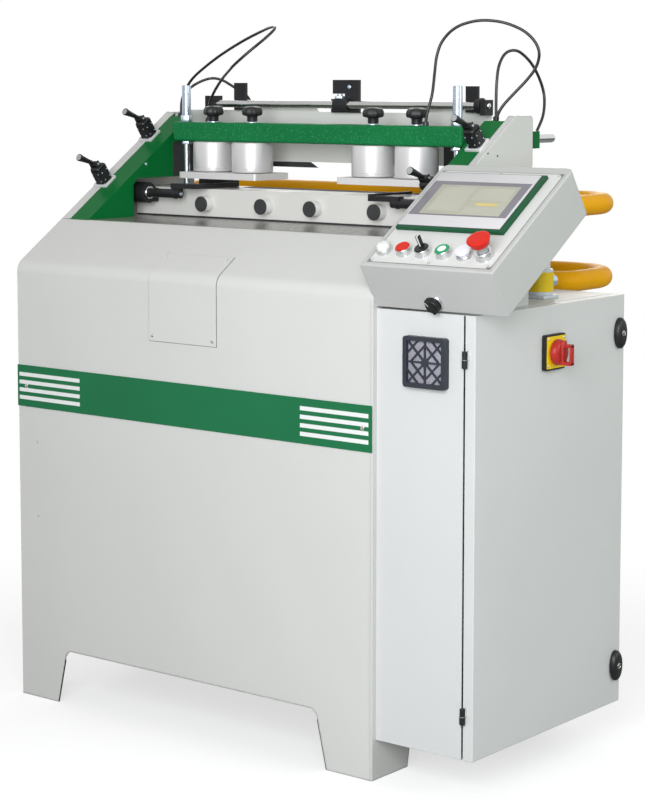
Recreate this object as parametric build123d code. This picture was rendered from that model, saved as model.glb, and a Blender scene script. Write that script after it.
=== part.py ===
from build123d import *
import math
import os

os.makedirs("parts", exist_ok=True)

# Frame: origin between the four floor anchors, on the floor. X runs to the operator's right,
# Y to the rear, Z up. All sizes are in millimetres.

# Body
BODY_W = 926.0
BODY_D = 520.0
SHEET = 3.0
BEND_Z = 908.0
SLOPE = 34.0
LEDGE_Z = 995.0
LEDGE_REAR = 100.0
SIDE_TOP = 1216.0
SIDE_ROUND = 8.0
FLANGE_IN = (-438.0, 447.0)
LIP = 2.0
BEND_R = 30.0
LEDGE_R = 6.0
EDGE_R = 2.0
FOOT_TOP = 112.0
FRONT_FOOT = (106.0, 132.0)
SIDE_FOOT = (111.0, 132.0)
HALF_W = BODY_W / 2
FRONT_Y = -BODY_D / 2
REAR_Y = BODY_D / 2
SIN = math.sin(math.radians(SLOPE))
COS = math.cos(math.radians(SLOPE))
FOLD = math.tan(math.radians((90 - SLOPE) / 2))

# Front trim
STRIP_Z = (613.0, 699.0)
STRIP_T = 2.0
COVER_X = (-88.0, 87.0)
COVER_Z = (777.0, 944.0)
COVER_T = 2.0

# Base frame
ANCHOR_X = 418.0
ANCHOR_Y = 217.0
ANCHOR_R = 7.0
FOOT_X = (405.0, 457.0)
FOOT_Y = (205.0, 253.0)
FOOT_T = 8.0
LEG = 25.0
BAR = 40.0
RING_Z = (160.0, 200.0)
POST_X = (400.0, 440.0)
POST_Y = (110.0, 175.0)
CROSS_Y = (175.0, 240.0)
CROSS_Z = (800.0, 860.0)
RAIL_Y = (192.0, 228.0)
RAIL_W = 16.0
RAIL_H = 14.0

# Table
TABLE_X = 436.0
TABLE_Y = (71.5, 207.0)
TABLE_Z = (999.0, 1057.0)
TABLE_WALL = 12.0
TABLE_END = 340.0
BUMPER_X = (65.0, 228.5)
BUMPER_Z = 1026.0
BUMPER_R = 16.5
BUMPER_L = 25.5

# Green side plates
PLATE_X = ((-437.0, -384.0), (400.0, 446.0))
PLATE_TOP = 1206.0
NOTCH_Y = 7.0
NOTCH_Z = 1077.0
PLATE_REAR = 255.0
LUG_REAR = 310.0
LUG_Z = (1150.0, 1184.0)
HOSE_HOLES = ((-411.0, 188.0), (410.0, 208.0))
HOSE_HOLE_R = 4.5
HOSE_HOLE_L = 70.0

# Clamp bridge
BEAM_X = (-369.0, 389.0)
BEAM_Y = (118.0, 162.0)
BEAM_Z = (1155.0, 1196.0)
ROD_X = (-351.0, 365.0)
ROD_Y = 140.0
ROD_R = 9.7
SHANK_R = 6.9
ROD_Z = (1030.0, 1149.0, 1274.5)
NUT_AF = 22.5
NUT_H = (7.5, 14.0)
CYL_X = (-269.5, -160.5, 160.5, 269.5)
CYL_Y = 136.0
CYL_R = 44.0
CYL_Z = (1091.5, 1155.0)
PISTON_R = 12.5
PISTON_TOP = 1130.0
PRESS_X = (107.0, 323.0)
PRESS_Y = (82.0, 193.0)
PRESS_Z = (1077.0, 1090.5)
RUN_FIT = 0.06
STUD_R = 6.0
STUD_L = 22.0
WASHER_R = 15.0
KNOB_R = 22.0
KNOB_Z = (1198.3, 1211.0, 1231.0)

# Rear pins on the lugs
PIN_X = 423.0
PIN_Z = 1169.0
PIN_R = 9.5
PIN_L = 80.0

# Rear board stop
STOP_X = (-361.0, 372.0)
STOP_Y = 231.0
STOP_Z = 1234.3
STOP_R = 8.2
BLOCK_X = ((-368.0, -341.5), (364.0, 376.0))
BLOCK_Y = (219.0, 247.0)
BLOCK_Z = ((1214.0, 1251.5), (1215.5, 1246.5))
FLAG_X = ((-298.0, -264.0), (317.0, 347.0))
FLAG_Y = (235.5, 241.5)
FLAG_Z = ((1220.5, 1279.5), (1220.5, 1273.5))
MIDDLE_FLAG = (
    (-23.0, 1286.0), (47.3, 1286.0), (47.3, 1217.5), (-27.6, 1217.5),
    (-27.6, 1246.0), (9.5, 1246.0), (9.5, 1257.0), (-23.0, 1257.0),
)

# Side stops
SIDE_Y = 42.0
SIDE_Z = 1046.0
SIDE_R = 9.5
SIDE_X = (280.0, 445.0)
HOUSING_X = ((371.0, 437.0), (380.0, 437.0))
HOUSING_R = 22.0
FENCE_X = (227.0, 237.0)
FENCE_Z = ((1057.8, 1068.3), (1058.3, 1063.0))
ARM_Z = ((1057.8, 1068.3), (1049.0, 1059.5))
FENCE_Y = (32.0, 165.0)

# Hood
HOOD_X = (-384.0, 372.0)
HOOD_Y = (247.0, 378.0)
HOOD_Z = (1112.0, 1205.0)
HOOD_FRONT = (
    (-384.0, 1112.0), (372.0, 1112.0), (372.0, 1226.0), (214.0, 1226.0), (208.0, 1218.5), (-71.0, 1218.5),
    (-77.0, 1227.0), (-262.0, 1227.0), (-268.0, 1221.0), (-436.0, 1220.0), (-436.0, 1207.0), (-384.0, 1207.0),
)
HOOD_CHEEK = ((190.0, 248.0), (1160.0, 1212.0))
HOOD_SHEET = 2.5
SPIGOT_R = 40.0
SPIGOT_L = 60.0

# Valves on the sloping flanges
VALVE_AT = ((-438.0, 117.0), (-438.0, -23.0), (433.0, 111.0), (433.0, -30.0))
LEVER_UP = 52.0
LEVER_BACK = -4.0
LEVER_TILT = 38.0
LEVER_L = 49.0
LEVER_R = (4.5, 8.0)

# Console
CONSOLE_TILT = 33.5
CONSOLE_W = 283.0
CONSOLE_LEFT = -2.0
CONSOLE_L = 309.0
CONSOLE_T = 95.0
CONSOLE_AT = (465.0, -299.0, 959.0)
BUTTON_V = 41.0
BUTTON_U = (29.5, 73.0, 114.5, 159.0, 203.0, 246.0)
BUTTON_R = 10.8
BUTTON_GAP = 0.5
CAP_R = 13.1
COLLAR_R = (13.6, 14.6)
COLLAR_TOP = (9.0, 13.0, 13.0, 13.0, 5.5)
LID_EDGE = 10.5
LID_V = (10.5, 287.5)
LID_R = 12.0
CASE_R = (14.0, 3.0)
SCREEN_U = (20.0, 242.0)
SCREEN_V = (105.0, 273.0)
SCREEN_W = 9.5
FRONT_SELECTOR = (135.0, -76.0)
SELECTOR_TURN = 30.0

# Cabinet
CAB_X = (463.0, 654.0)
CAB_Y = (-247.0, 255.0)
CAB_Z = (76.0, 876.0)
CAB_SHEET = 2.0
DOOR_X = (658.0, 679.0)
HINGE_X = 660.0
HINGE_Y = -252.0
HINGE_R = 4.5
HINGE_PIN_R = 2.5
HINGE_Z = ((143.0, 172.0), (783.0, 813.0))
LOCK_Y = 234.0
LOCK_Z = (803.0, 151.0)
LOCK_SIZE = (35.0, 60.0)
LOCK_T = 12.0
FILTER_X = 577.0
FILTER_Z = 787.0
FILTER_W = 92.0
FILTER_T = 14.0
FILTER_BAR = (5.0, 3.0)
FILTER_HUB = 14.0
FILTER_DIAMONDS = ((22.0, 46.0), (38.0, 60.0))
SWITCH_Y = -1.0
SWITCH_Z = 790.0
SWITCH_W = 66.0
GUSSET_X = ((500.0, 506.0), (640.0, 646.0))
GUSSET_Y = (-215.0, -30.0)
GLAND_AT = (560.0, 200.0)
GLAND_R = 14.0
GLAND_BORE = 6.5
GLAND_L = 30.0
AIR_AT = (590.0, 95.0)

# Rear guard
GUARD_X = 517.0
GUARD_Y = (285.0, 510.0)
GUARD_Z = (886.0, 1036.0)
GUARD_R = 21.0
GUARD_BEND = (60.0, 100.0)
GUARD_END = 452.0
TAB_X = (441.0, 460.0)
TAB_H = 36.0

# Cutter drive
SCREW_Y = 210.0
SCREW_Z = 891.0
SCREW_R = 8.0
SCREW_END = 457.0
SLIDE_X = (15.0, 145.0)
LIFT_X = (25.0, 135.0)
HEAD_Y = 306.0
HEAD_Z = 955.0
MOTOR_X = (18.0, 138.0)
MOTOR_R = 45.0
SPINDLE_R = 10.0
CUTTER_R = 85.0
CUTTER_T = 10.0
CUTTER_TEETH = 12

# Free hoses, as the points of their straight runs
HOSE_R = 3.0
HOSE_A = [
    (296, 129, 1196), (297, 129, 1212), (301, 131.5, 1231), (305.5, 138, 1257), (304, 145, 1284),
    (301.5, 152, 1306.5), (301, 157.5, 1333.5), (309, 163, 1363), (335, 172, 1390), (370.5, 187, 1402),
    (401.5, 203, 1402.5), (432, 220, 1395.5), (465.5, 236, 1377.5), (487, 246, 1345.5), (480, 247, 1312.5),
    (461, 240, 1286), (439.5, 227, 1260), (420, 212.5, 1234), (410.2, 208, 1212), (409.8, 208, 1186),
    (410, 208, 1160),
]
HOSE_B = [
    (404, 216.5, 1206), (403.5, 216.5, 1243), (403.5, 218, 1282), (402.5, 226, 1316), (408, 241, 1341),
    (418, 264, 1346), (422, 290, 1334), (426.5, 314, 1314.5), (430.5, 334, 1285.5), (433, 345, 1258),
    (437, 340, 1236), (443, 327, 1217), (446, 314, 1202), (443, 304, 1185),
]
HOSE_C = [
    (-411, 188, 1160), (-411.2, 188, 1186), (-411, 188, 1213), (-409, 187, 1241), (-396, 187, 1266),
    (-375.5, 184, 1288), (-338.5, 178, 1309.5), (-275.5, 166, 1339.5), (-197, 152, 1369.5), (-135, 136, 1387),
    (-77.5, 102, 1395.5), (-40, 74, 1393.5), (-39, 38, 1371), (-57, 8, 1344.5), (-91, -4, 1315),
    (-134, 35, 1307), (-187, 80, 1296), (-237, 119, 1280.5), (-280, 145, 1255), (-297, 150, 1228),
    (-297, 150, 1196),
]
HOSE_D = [
    (-417, 194, 1206), (-416, 194, 1230), (-412.5, 199, 1250.5), (-402.5, 208, 1269.5), (-382, 223, 1284),
    (-361, 237, 1291), (-340.5, 248, 1285.5), (-322, 256, 1273), (-303, 263, 1262), (-287, 268, 1251),
    (-277, 271, 1233), (-276, 271, 1205),
]


# Helpers
def block(x, y, z):
    """Box between two limits on each axis."""
    size = Box(x[1] - x[0], y[1] - y[0], z[1] - z[0])
    return Pos((x[0] + x[1]) / 2, (y[0] + y[1]) / 2, (z[0] + z[1]) / 2) * size


def rod_x(x, y, z, r):
    """Round bar along X between two limits."""
    return Pos((x[0] + x[1]) / 2, y, z) * Rot(0, 90, 0) * Cylinder(r, x[1] - x[0])


def rod_y(x, y, z, r):
    """Round bar along Y between two limits."""
    return Pos(x, (y[0] + y[1]) / 2, z) * Rot(90, 0, 0) * Cylinder(r, y[1] - y[0])


def rod_z(x, y, z, r):
    """Round bar along Z between two limits."""
    return Pos(x, y, (z[0] + z[1]) / 2) * Cylinder(r, z[1] - z[0])


def prism_x(points, x):
    """Outline in Y and Z drawn out along X."""
    face = make_face(Polyline(*[(x[0], y, z) for y, z in points], close=True))
    return extrude(face, x[1] - x[0], dir=(1, 0, 0))


def prism_y(points, y):
    """Outline in X and Z drawn out along Y."""
    face = make_face(Polyline(*[(x, y[0], z) for x, z in points], close=True))
    return extrude(face, y[1] - y[0], dir=(0, 1, 0))


def both(shape):
    """A shape and its mirror image on the other side of the machine."""
    return [shape, mirror(shape, about=Plane.YZ)]


def sides(limits, side):
    """Limits along X on the right side (+1) or the left side (-1)."""
    return limits if side > 0 else (-limits[1], -limits[0])


def slope_z(y):
    """Height of the sloping front at a given depth."""
    return BEND_Z + (y - FRONT_Y) * SIN / COS


def slope_y(z):
    """Depth of the sloping front at a given height."""
    return FRONT_Y + (z - BEND_Z) * COS / SIN


def fold(gap):
    """Point of the front bend, moved out from the body face by a gap."""
    return (FRONT_Y - gap, BEND_Z + gap * FOLD)


def corner(level, gap):
    """Point where the slope meets a level face, moved out by a gap."""
    return (slope_y(level + gap - gap / COS), level + gap)


def slope_point(z, gap):
    """Point on the slope at a height, moved out square to it by a gap."""
    return (slope_y(z) - gap * SIN, z + gap * COS)


def round_x(solid, radius, x, point):
    """Round the edge along X that passes a point in Y and Z."""
    middle = Vector((x[0] + x[1]) / 2, *point)
    edges = [e for e in solid.edges().filter_by(Axis.X) if (e.center() - middle).length < 0.5]
    return fillet(edges, radius)


def save(node, *solids):
    """Write one node, as one solid or as a group of separate solids."""
    shape = solids[0] if len(solids) == 1 else Compound(children=list(solids))
    export_step(shape, f"parts/{node}.step")
    print(node, len(shape.solids()), "solids", round(shape.volume / 1000), "cm3")


# Body shell: a folded front sheet between two side panels, with flanges along their edges
wide = (-HALF_W, HALF_W)
between = (-HALF_W + SHEET, HALF_W - SHEET)
inside = -SHEET
outer = [(FRONT_Y, 0), fold(0), corner(LEDGE_Z, 0), (LEDGE_REAR, LEDGE_Z)]
inner = [(FRONT_Y + SHEET, 0), fold(inside), corner(LEDGE_Z, inside), (LEDGE_REAR, LEDGE_Z - SHEET)]
front = prism_x(outer + inner[::-1], between)
front = round_x(front, BEND_R - SHEET, between, fold(inside))
front = round_x(front, BEND_R, between, fold(0))
front = round_x(front, LEDGE_R - SHEET, between, corner(LEDGE_Z, inside))
front = round_x(front, LEDGE_R, between, corner(LEDGE_Z, 0))
side_x = (HALF_W - SHEET, HALF_W)
side = prism_x([(FRONT_Y, 0), fold(0), corner(SIDE_TOP, 0), (REAR_Y, SIDE_TOP), (REAR_Y, 0)], side_x)
side = round_x(side, BEND_R, side_x, fold(0))
side = round_x(side, SIDE_ROUND, side_x, (REAR_Y, SIDE_TOP))
side_face = side.faces().sort_by(Axis.X)[-1]
side_edges = [e for e in side_face.edges() if e.center().Z > FOOT_TOP and e.center().Y < REAR_Y - 1]
side = fillet(side_edges, EDGE_R)
top_outer = corner(SIDE_TOP, 0)
top_inner = corner(SIDE_TOP, inside)
top_end = REAR_Y - SIDE_ROUND
low_outer = slope_point(LEDGE_Z + 1, 0)
low_inner = slope_point(LEDGE_Z + 1, inside)
flanges = []
for edge in FLANGE_IN:
    wall = math.copysign(HALF_W - SHEET, edge)
    flange_x = (min(edge, wall), max(edge, wall))
    lip_x = (edge, edge + LIP) if edge > 0 else (edge - LIP, edge)
    flanges += [
        prism_x([low_outer, top_outer, top_inner, low_inner], flange_x),
        prism_x([top_outer, (top_end, SIDE_TOP), (top_end, SIDE_TOP - SHEET), top_inner], flange_x),
        block(flange_x, (REAR_Y - SHEET, REAR_Y), (0, SIDE_TOP - SIDE_ROUND)),
        block(lip_x, (top_inner[0] + LIP, top_end), (PLATE_TOP - 1, SIDE_TOP - SHEET)),
    ]
front_gap = prism_y(
    [
        (-HALF_W + FRONT_FOOT[0], -1),
        (-HALF_W + FRONT_FOOT[1], FOOT_TOP),
        (HALF_W - FRONT_FOOT[1], FOOT_TOP),
        (HALF_W - FRONT_FOOT[0], -1),
    ],
    (FRONT_Y - 5, FRONT_Y + 10),
)
front_gap = fillet(front_gap.edges().filter_by(Axis.Y).group_by(Axis.Z)[-1], 20)
side_gap = prism_x(
    [
        (FRONT_Y + SIDE_FOOT[0], -1),
        (FRONT_Y + SIDE_FOOT[1], FOOT_TOP),
        (REAR_Y - SIDE_FOOT[1], FOOT_TOP),
        (REAR_Y - SIDE_FOOT[0], -1),
    ],
    (-HALF_W - 5, HALF_W + 5),
)
side_gap = fillet(side_gap.edges().filter_by(Axis.X).group_by(Axis.Z)[-1], 20)
save("body_shell", front - front_gap, *both(side - side_gap), *flanges)

# Rear panel with a row of air slots
panel = block((-450, 450), (REAR_Y, REAR_Y + 2), (125, 855))
for x in range(-300, 301, 150):
    panel -= block((x - 55, x + 55), (REAR_Y - 1, REAR_Y + 3), (780, 788))
    panel -= block((x - 55, x + 55), (REAR_Y - 1, REAR_Y + 3), (755, 763))
save("rear_panel", panel)

# Base frame of separate bars: foot plates, legs, ring, posts for the table, cross bar, rails, bearings
frame_x = (-FOOT_X[1], FOOT_X[1])
leg_x = (FOOT_X[1] - BAR, FOOT_X[1])
leg_y = (FOOT_Y[1] - BAR, FOOT_Y[1])
bars = [block(frame_x, sides(leg_y, end), RING_Z) for end in (-1, 1)]
for side in (-1, 1):
    bars.append(block(sides(leg_x, side), (-leg_y[0], leg_y[0]), RING_Z))
    bars.append(block(sides(POST_X, side), POST_Y, (RING_Z[1], TABLE_Z[0])))
    for end in (-1, 1):
        plate = block(sides(FOOT_X, side), sides(FOOT_Y, end), (0, FOOT_T))
        bars.append(plate - rod_z(side * ANCHOR_X, end * ANCHOR_Y, (-1, FOOT_T + 1), ANCHOR_R))
        stand_x = sides((FOOT_X[1] - LEG, FOOT_X[1]), side)
        stand_y = sides((FOOT_Y[1] - LEG, FOOT_Y[1]), end)
        bars.append(block(stand_x, stand_y, (FOOT_T, RING_Z[0])))
bars.append(block(frame_x, CROSS_Y, CROSS_Z))
rail_top = CROSS_Z[1] + RAIL_H
rails = [block((-445, 445), (y - RAIL_W / 2, y + RAIL_W / 2), (CROSS_Z[1], rail_top)) for y in RAIL_Y]
bearing = block((446, SCREW_END), (SCREW_Y - 9, SCREW_Y + 9), (CROSS_Z[1], SCREW_Z + 15))
bearing -= rod_x((440, 460), SCREW_Y, SCREW_Z, SCREW_R + RUN_FIT)
save("base_frame", *bars, *rails, *both(bearing))

# Front strip and access cover
save("front_strip", block(wide, (FRONT_Y - STRIP_T, FRONT_Y), STRIP_Z))
cover = prism_x(
    [
        (FRONT_Y - COVER_T, COVER_Z[0]),
        fold(COVER_T),
        slope_point(COVER_Z[1], COVER_T),
        slope_point(COVER_Z[1], 0),
        fold(0),
        (FRONT_Y, COVER_Z[0]),
    ],
    COVER_X,
)
cover = round_x(cover, BEND_R, COVER_X, fold(0))
cover = round_x(cover, BEND_R + COVER_T, COVER_X, fold(COVER_T))
save("access_cover", cover)

# Console frame: u along X, v up the slope, w square to the panel
console = Plane(
    origin=CONSOLE_AT,
    x_dir=(1, 0, 0),
    z_dir=(0, -math.sin(math.radians(CONSOLE_TILT)), math.cos(math.radians(CONSOLE_TILT))),
)


def console_rod(u, v, w, r):
    """Round bar square to the console panel."""
    return console * rod_z(u, v, w, r)


# Screws of strip, cover and console lid
screws = [rod_y(x, (FRONT_Y - STRIP_T - 2, FRONT_Y - STRIP_T), 656.5, 4.5) for x in (-436, 442)]
for x in (COVER_X[0] + 9, COVER_X[1] - 9):
    screws.append(rod_y(x, (FRONT_Y - COVER_T - 2, FRONT_Y - COVER_T), COVER_Z[0] + 10, 4.5))
    high = slope_y(COVER_Z[1] - 6)
    face = Plane(origin=(x, high, slope_z(high)), x_dir=(1, 0, 0), z_dir=(0, -SIN, COS))
    screws.append(face * rod_z(0, 0, (COVER_T, COVER_T + 2), 4.5))
for u in (17, CONSOLE_W / 2, CONSOLE_W - 17):
    for v in (15, LID_V[1] - 4.5):
        screws.append(console_rod(u, v, (0.5, 2), 3.2))
save("panel_screws", *screws)

# Green side plates
outline = [
    corner(LEDGE_Z, 0),
    (NOTCH_Y, LEDGE_Z),
    (NOTCH_Y, NOTCH_Z - 14),
    (NOTCH_Y + 14, NOTCH_Z),
    (PLATE_REAR, NOTCH_Z),
    (PLATE_REAR, LUG_Z[0]),
    (LUG_REAR, LUG_Z[0]),
    (LUG_REAR, LUG_Z[1]),
    (PLATE_REAR, LUG_Z[1]),
    (PLATE_REAR, PLATE_TOP),
    corner(PLATE_TOP, 0),
]
for node, limits, (x, y) in zip(("left_side_plate", "right_side_plate"), PLATE_X, HOSE_HOLES):
    plate = prism_x(outline, limits)
    plate -= rod_z(x, y, (PLATE_TOP - HOSE_HOLE_L, PLATE_TOP + 1), HOSE_HOLE_R)
    save(node, plate)

# Table and its bumpers
table = block((-TABLE_X, TABLE_X), TABLE_Y, TABLE_Z)
table -= block(
    (-TABLE_END, TABLE_END),
    (TABLE_Y[0] + TABLE_WALL, TABLE_Y[1] - TABLE_WALL),
    (TABLE_Z[0] - 1, TABLE_Z[1] - TABLE_WALL),
)
for x in ROD_X:
    table -= rod_z(x, ROD_Y, (ROD_Z[0], TABLE_Z[1] + 1), SHANK_R + RUN_FIT)
save("table_beam", table)
bumper_y = (TABLE_Y[0] - BUMPER_L, TABLE_Y[0])
save("bumpers", *[rod_y(s * x, bumper_y, BUMPER_Z, BUMPER_R) for x in BUMPER_X for s in (-1, 1)])


# Dust hood, open at the bottom, behind a higher front plate, with a round spigot
hood = block(HOOD_X, HOOD_Y, HOOD_Z)
hood -= block(
    (HOOD_X[0] + HOOD_SHEET, HOOD_X[1] - HOOD_SHEET),
    (HOOD_Y[0] + HOOD_SHEET, HOOD_Y[1] - HOOD_SHEET),
    (HOOD_Z[0] - 1, HOOD_Z[1] - HOOD_SHEET),
)
hood += prism_y(HOOD_FRONT, (HOOD_Y[0], HOOD_Y[0] + HOOD_SHEET))
hood += block((HOOD_X[0], HOOD_X[0] + HOOD_SHEET), *HOOD_CHEEK)
spigot_z = sum(HOOD_Z) / 2
hood += rod_y(0, (HOOD_Y[1] - HOOD_SHEET, HOOD_Y[1] + SPIGOT_L), spigot_z, SPIGOT_R)
hood -= rod_y(0, (HOOD_Y[1] - 10, HOOD_Y[1] + SPIGOT_L + 1), spigot_z, SPIGOT_R - HOOD_SHEET)
save("dust_hood", hood)

# Clamp beam, rods, nuts and washers
beam = block(BEAM_X, BEAM_Y, BEAM_Z)
beam = fillet(beam.edges().filter_by(Axis.X), 6)
beam = fillet(beam.edges().group_by(Axis.X)[-1], 5)
for x in ROD_X:
    beam -= rod_z(x, ROD_Y, (BEAM_Z[0] - 1, BEAM_Z[1] + 1), ROD_R + RUN_FIT)
for x in CYL_X:
    beam -= rod_z(x, CYL_Y, (BEAM_Z[1] - STUD_L - 3, BEAM_Z[1] + 1), STUD_R + RUN_FIT)
save("clamp_beam", beam)
rods = [rod_z(x, ROD_Y, ROD_Z[:2], SHANK_R) + rod_z(x, ROD_Y, ROD_Z[1:], ROD_R) for x in ROD_X]
pin = rod_y(PIN_X, (LUG_REAR, LUG_REAR + PIN_L), PIN_Z, PIN_R)
save("steel_rods", *rods, *both(pin))
nuts = []
for x in ROD_X:
    for low, high in ((BEAM_Z[0] - NUT_H[0], BEAM_Z[0]), (BEAM_Z[1], BEAM_Z[1] + NUT_H[1])):
        nut = extrude(Pos(x, ROD_Y, low) * RegularPolygon(NUT_AF / math.sqrt(3), 6), high - low)
        nuts.append(nut - rod_z(x, ROD_Y, (low - 1, high + 1), ROD_R + RUN_FIT))
for x in CYL_X:
    ring = rod_z(x, CYL_Y, (BEAM_Z[1], BEAM_Z[1] + 2), WASHER_R)
    nuts.append(ring - rod_z(x, CYL_Y, (BEAM_Z[1] - 1, BEAM_Z[1] + 3), STUD_R + 0.6))
save("beam_nuts", *nuts)

# Clamp cylinders and pressure plates
cylinders = []
for x in CYL_X:
    can = rod_z(x, CYL_Y, CYL_Z, CYL_R)
    can = fillet(can.edges().filter_by(GeomType.CIRCLE), 4)
    cylinders.append(can - rod_z(x, CYL_Y, (CYL_Z[0] - 1, PISTON_TOP + 5), PISTON_R + RUN_FIT))
save("clamp_cylinders", *cylinders)
for node, side in (("left_pressure_plate", -1), ("right_pressure_plate", 1)):
    plate = block(sides(PRESS_X, side), PRESS_Y, PRESS_Z)
    plate = fillet(plate.edges().filter_by(Axis.Z), 6)
    for x in CYL_X:
        if x * side > 0:
            plate += rod_z(x, CYL_Y, (PRESS_Z[0] + 5, PISTON_TOP), PISTON_R)
    save(node, plate)

# Knobs with their studs
for number, x in enumerate(CYL_X, 1):
    cap = fillet(rod_z(x, CYL_Y, KNOB_Z[1:], KNOB_R).edges().filter_by(GeomType.CIRCLE), 7)
    knob = cap + rod_z(x, CYL_Y, (KNOB_Z[0], KNOB_Z[1] + 3), KNOB_R / 2)
    knob += rod_z(x, CYL_Y, (BEAM_Z[1] - STUD_L, KNOB_Z[1]), STUD_R)
    save(f"knob_{number}", knob)

# Rear board stop: shaft, three flags behind it, two bearing blocks
save("stop_shaft", rod_x(STOP_X, STOP_Y, STOP_Z, STOP_R))
flags = [block(x, FLAG_Y, z) for x, z in zip(FLAG_X, FLAG_Z)] + [prism_y(MIDDLE_FLAG, FLAG_Y)]
groove = rod_x(STOP_X, STOP_Y, STOP_Z, STOP_R + RUN_FIT)
save("stop_flags", *[flag - groove for flag in flags])

# Bearing blocks of the stop shaft and housings of the side stops
socket = rod_x((STOP_X[0] - 0.5, STOP_X[1] + 0.5), STOP_Y, STOP_Z, STOP_R + RUN_FIT)
bearings = [block(x, BLOCK_Y, z) - socket for x, z in zip(BLOCK_X, BLOCK_Z)]
for side, limits in zip((-1, 1), HOUSING_X):
    housing = rod_x(sides(limits, side), SIDE_Y, SIDE_Z, HOUSING_R)
    housing += block(sides(limits, side), (SIDE_Y, TABLE_Y[0]), (SIDE_Z - 20, SIDE_Z + 9))
    bearings.append(housing - rod_x(sides((365, 450), side), SIDE_Y, SIDE_Z, SIDE_R + RUN_FIT))
save("stop_bearings", *bearings)

# Side stops with fence bars
for side, fence, arm in zip((-1, 1), FENCE_Z, ARM_Z):
    stop = rod_x(sides(SIDE_X, side), SIDE_Y, SIDE_Z, SIDE_R)
    stop += block(sides((SIDE_X[0], SIDE_X[0] + 20), side), (SIDE_Y - 8, SIDE_Y + 8), (SIDE_Z, arm[1]))
    stop += block(sides((FENCE_X[0], SIDE_X[0] + 20), side), (FENCE_Y[0], FENCE_Y[0] + 20), arm)
    stop += block(sides(FENCE_X, side), FENCE_Y, fence)
    save("left_side_stop" if side < 0 else "right_side_stop", stop)

# Hand valves: bodies on the slope and their levers
valves = []
for number, (x, y) in enumerate(VALVE_AT, 1):
    seat = Plane(origin=(x, y, slope_z(y)), x_dir=(1, 0, 0), z_dir=(0, -SIN, COS))
    tower = block((-12, 12), (-13, 13), (6, 45))
    tower = chamfer(tower.edges().filter_by(Axis.Z), 5)
    valve = block((-18, 18), (-19, 19), (0, 6)) + tower
    back = (LEVER_BACK - 6, LEVER_BACK + 6)
    for ear in (-1, 1):
        valve += block(sides((7.5, 11), ear), back, (40, LEVER_UP + 6))
    valve += rod_x((-11, 11), LEVER_BACK, LEVER_UP, 2.5)
    valves.append(seat * valve)
    stick = Pos(0, 0, LEVER_L / 2 + 2) * Cone(*LEVER_R, LEVER_L - 4)
    stick = fillet(stick.edges().group_by(Axis.Z)[-1], 2)
    lever = rod_x((-7, 7), 0, 0, 6) + Rot(LEVER_TILT, 0, 0) * stick
    lever -= rod_x((-8, 8), 0, 0, 2.8)
    save(f"lever_{number}", seat * Pos(0, LEVER_BACK, LEVER_UP) * lever)
save("valve_bodies", *valves)

# Console case with a seat for its lid
case = block((CONSOLE_LEFT, CONSOLE_W), (0, CONSOLE_L), (-CONSOLE_T, 0))
case = fillet(case.edges().filter_by(Axis.Z).group_by(Axis.Y)[-1], CASE_R[0])
case = fillet(case.edges().group_by(Axis.Z)[-1], CASE_R[1])
case -= block((CONSOLE_LEFT + 5, CONSOLE_W - 5), (5, CONSOLE_L - 5), (-CONSOLE_T + 3, -6))
case -= block((14, CONSOLE_W - 14), (16, LID_V[1] - 5.5), (-10, 1))
for gap, low, high in ((0.5, -2.5, 1), (0, -2.5, 0.5)):
    edge = LID_EDGE - gap
    lid = block((edge, CONSOLE_W - edge), (LID_V[0] - gap, LID_V[1] + gap), (low, high))
    lid = fillet(lid.edges().filter_by(Axis.Z), LID_R + gap)
    if gap:
        case -= lid
u, w = FRONT_SELECTOR
case -= rod_y(u, (-1, 6), w, BUTTON_R + BUTTON_GAP)
save("console_case", console * case)
for u in BUTTON_U:
    lid -= rod_z(u, BUTTON_V, (-4, 2), BUTTON_R + BUTTON_GAP)
save("console_panel", console * lid)
screen = block(SCREEN_U, SCREEN_V, (0.5, SCREEN_W))
save("touch_screen", console * chamfer(screen.edges().group_by(Axis.Z)[-1], 2))

# Rings round lamp, buttons and selectors
collars = []
for u, top in zip(BUTTON_U, COLLAR_TOP):
    ring = rod_z(u, BUTTON_V, (0.5, top), COLLAR_R[1]) - rod_z(u, BUTTON_V, (0, top + 1), COLLAR_R[0])
    collars.append(console * ring)
stop_u = BUTTON_U[5]
ring = rod_z(stop_u, BUTTON_V, (0.5, 15), 15.7) - rod_z(stop_u, BUTTON_V, (0, 16), BUTTON_R + BUTTON_GAP)
collars.append(console * ring)
u, w = FRONT_SELECTOR
ring = rod_y(u, (-5, 0), w, 16) - rod_y(u, (-6, 1), w, BUTTON_R + BUTTON_GAP)
collars.append(console * ring)
save("button_collars", *collars)

# Lamp, push buttons, selectors and emergency stop
lamp = fillet(rod_z(BUTTON_U[0], BUTTON_V, (0.5, 19), CAP_R).edges().group_by(Axis.Z)[-1], 6)
lamp += rod_z(BUTTON_U[0], BUTTON_V, (-2.5, 1), BUTTON_R + BUTTON_GAP)
save("pilot_lamp", console * lamp)
for node, u, low, high, radius in (
    ("red_button", BUTTON_U[1], 8, 15, CAP_R),
    ("green_button", BUTTON_U[3], 8, 15, CAP_R),
    ("white_button", BUTTON_U[4], 10.3, 15.5, COLLAR_R[1]),
):
    button = fillet(rod_z(u, BUTTON_V, (low, high), radius).edges().group_by(Axis.Z)[-1], 1.5)
    save(node, console * (button + rod_z(u, BUTTON_V, (-12, low + 1), BUTTON_R)))
u = BUTTON_U[2]
knob = rod_z(u, BUTTON_V, (8, 15), CAP_R) + rod_z(u, BUTTON_V, (-12, 9), BUTTON_R)
knob += block((u - 5, u + 5), (BUTTON_V - 1, BUTTON_V + 6), (14, 38))
save("top_selector", console * knob)
u, w = FRONT_SELECTOR
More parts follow.
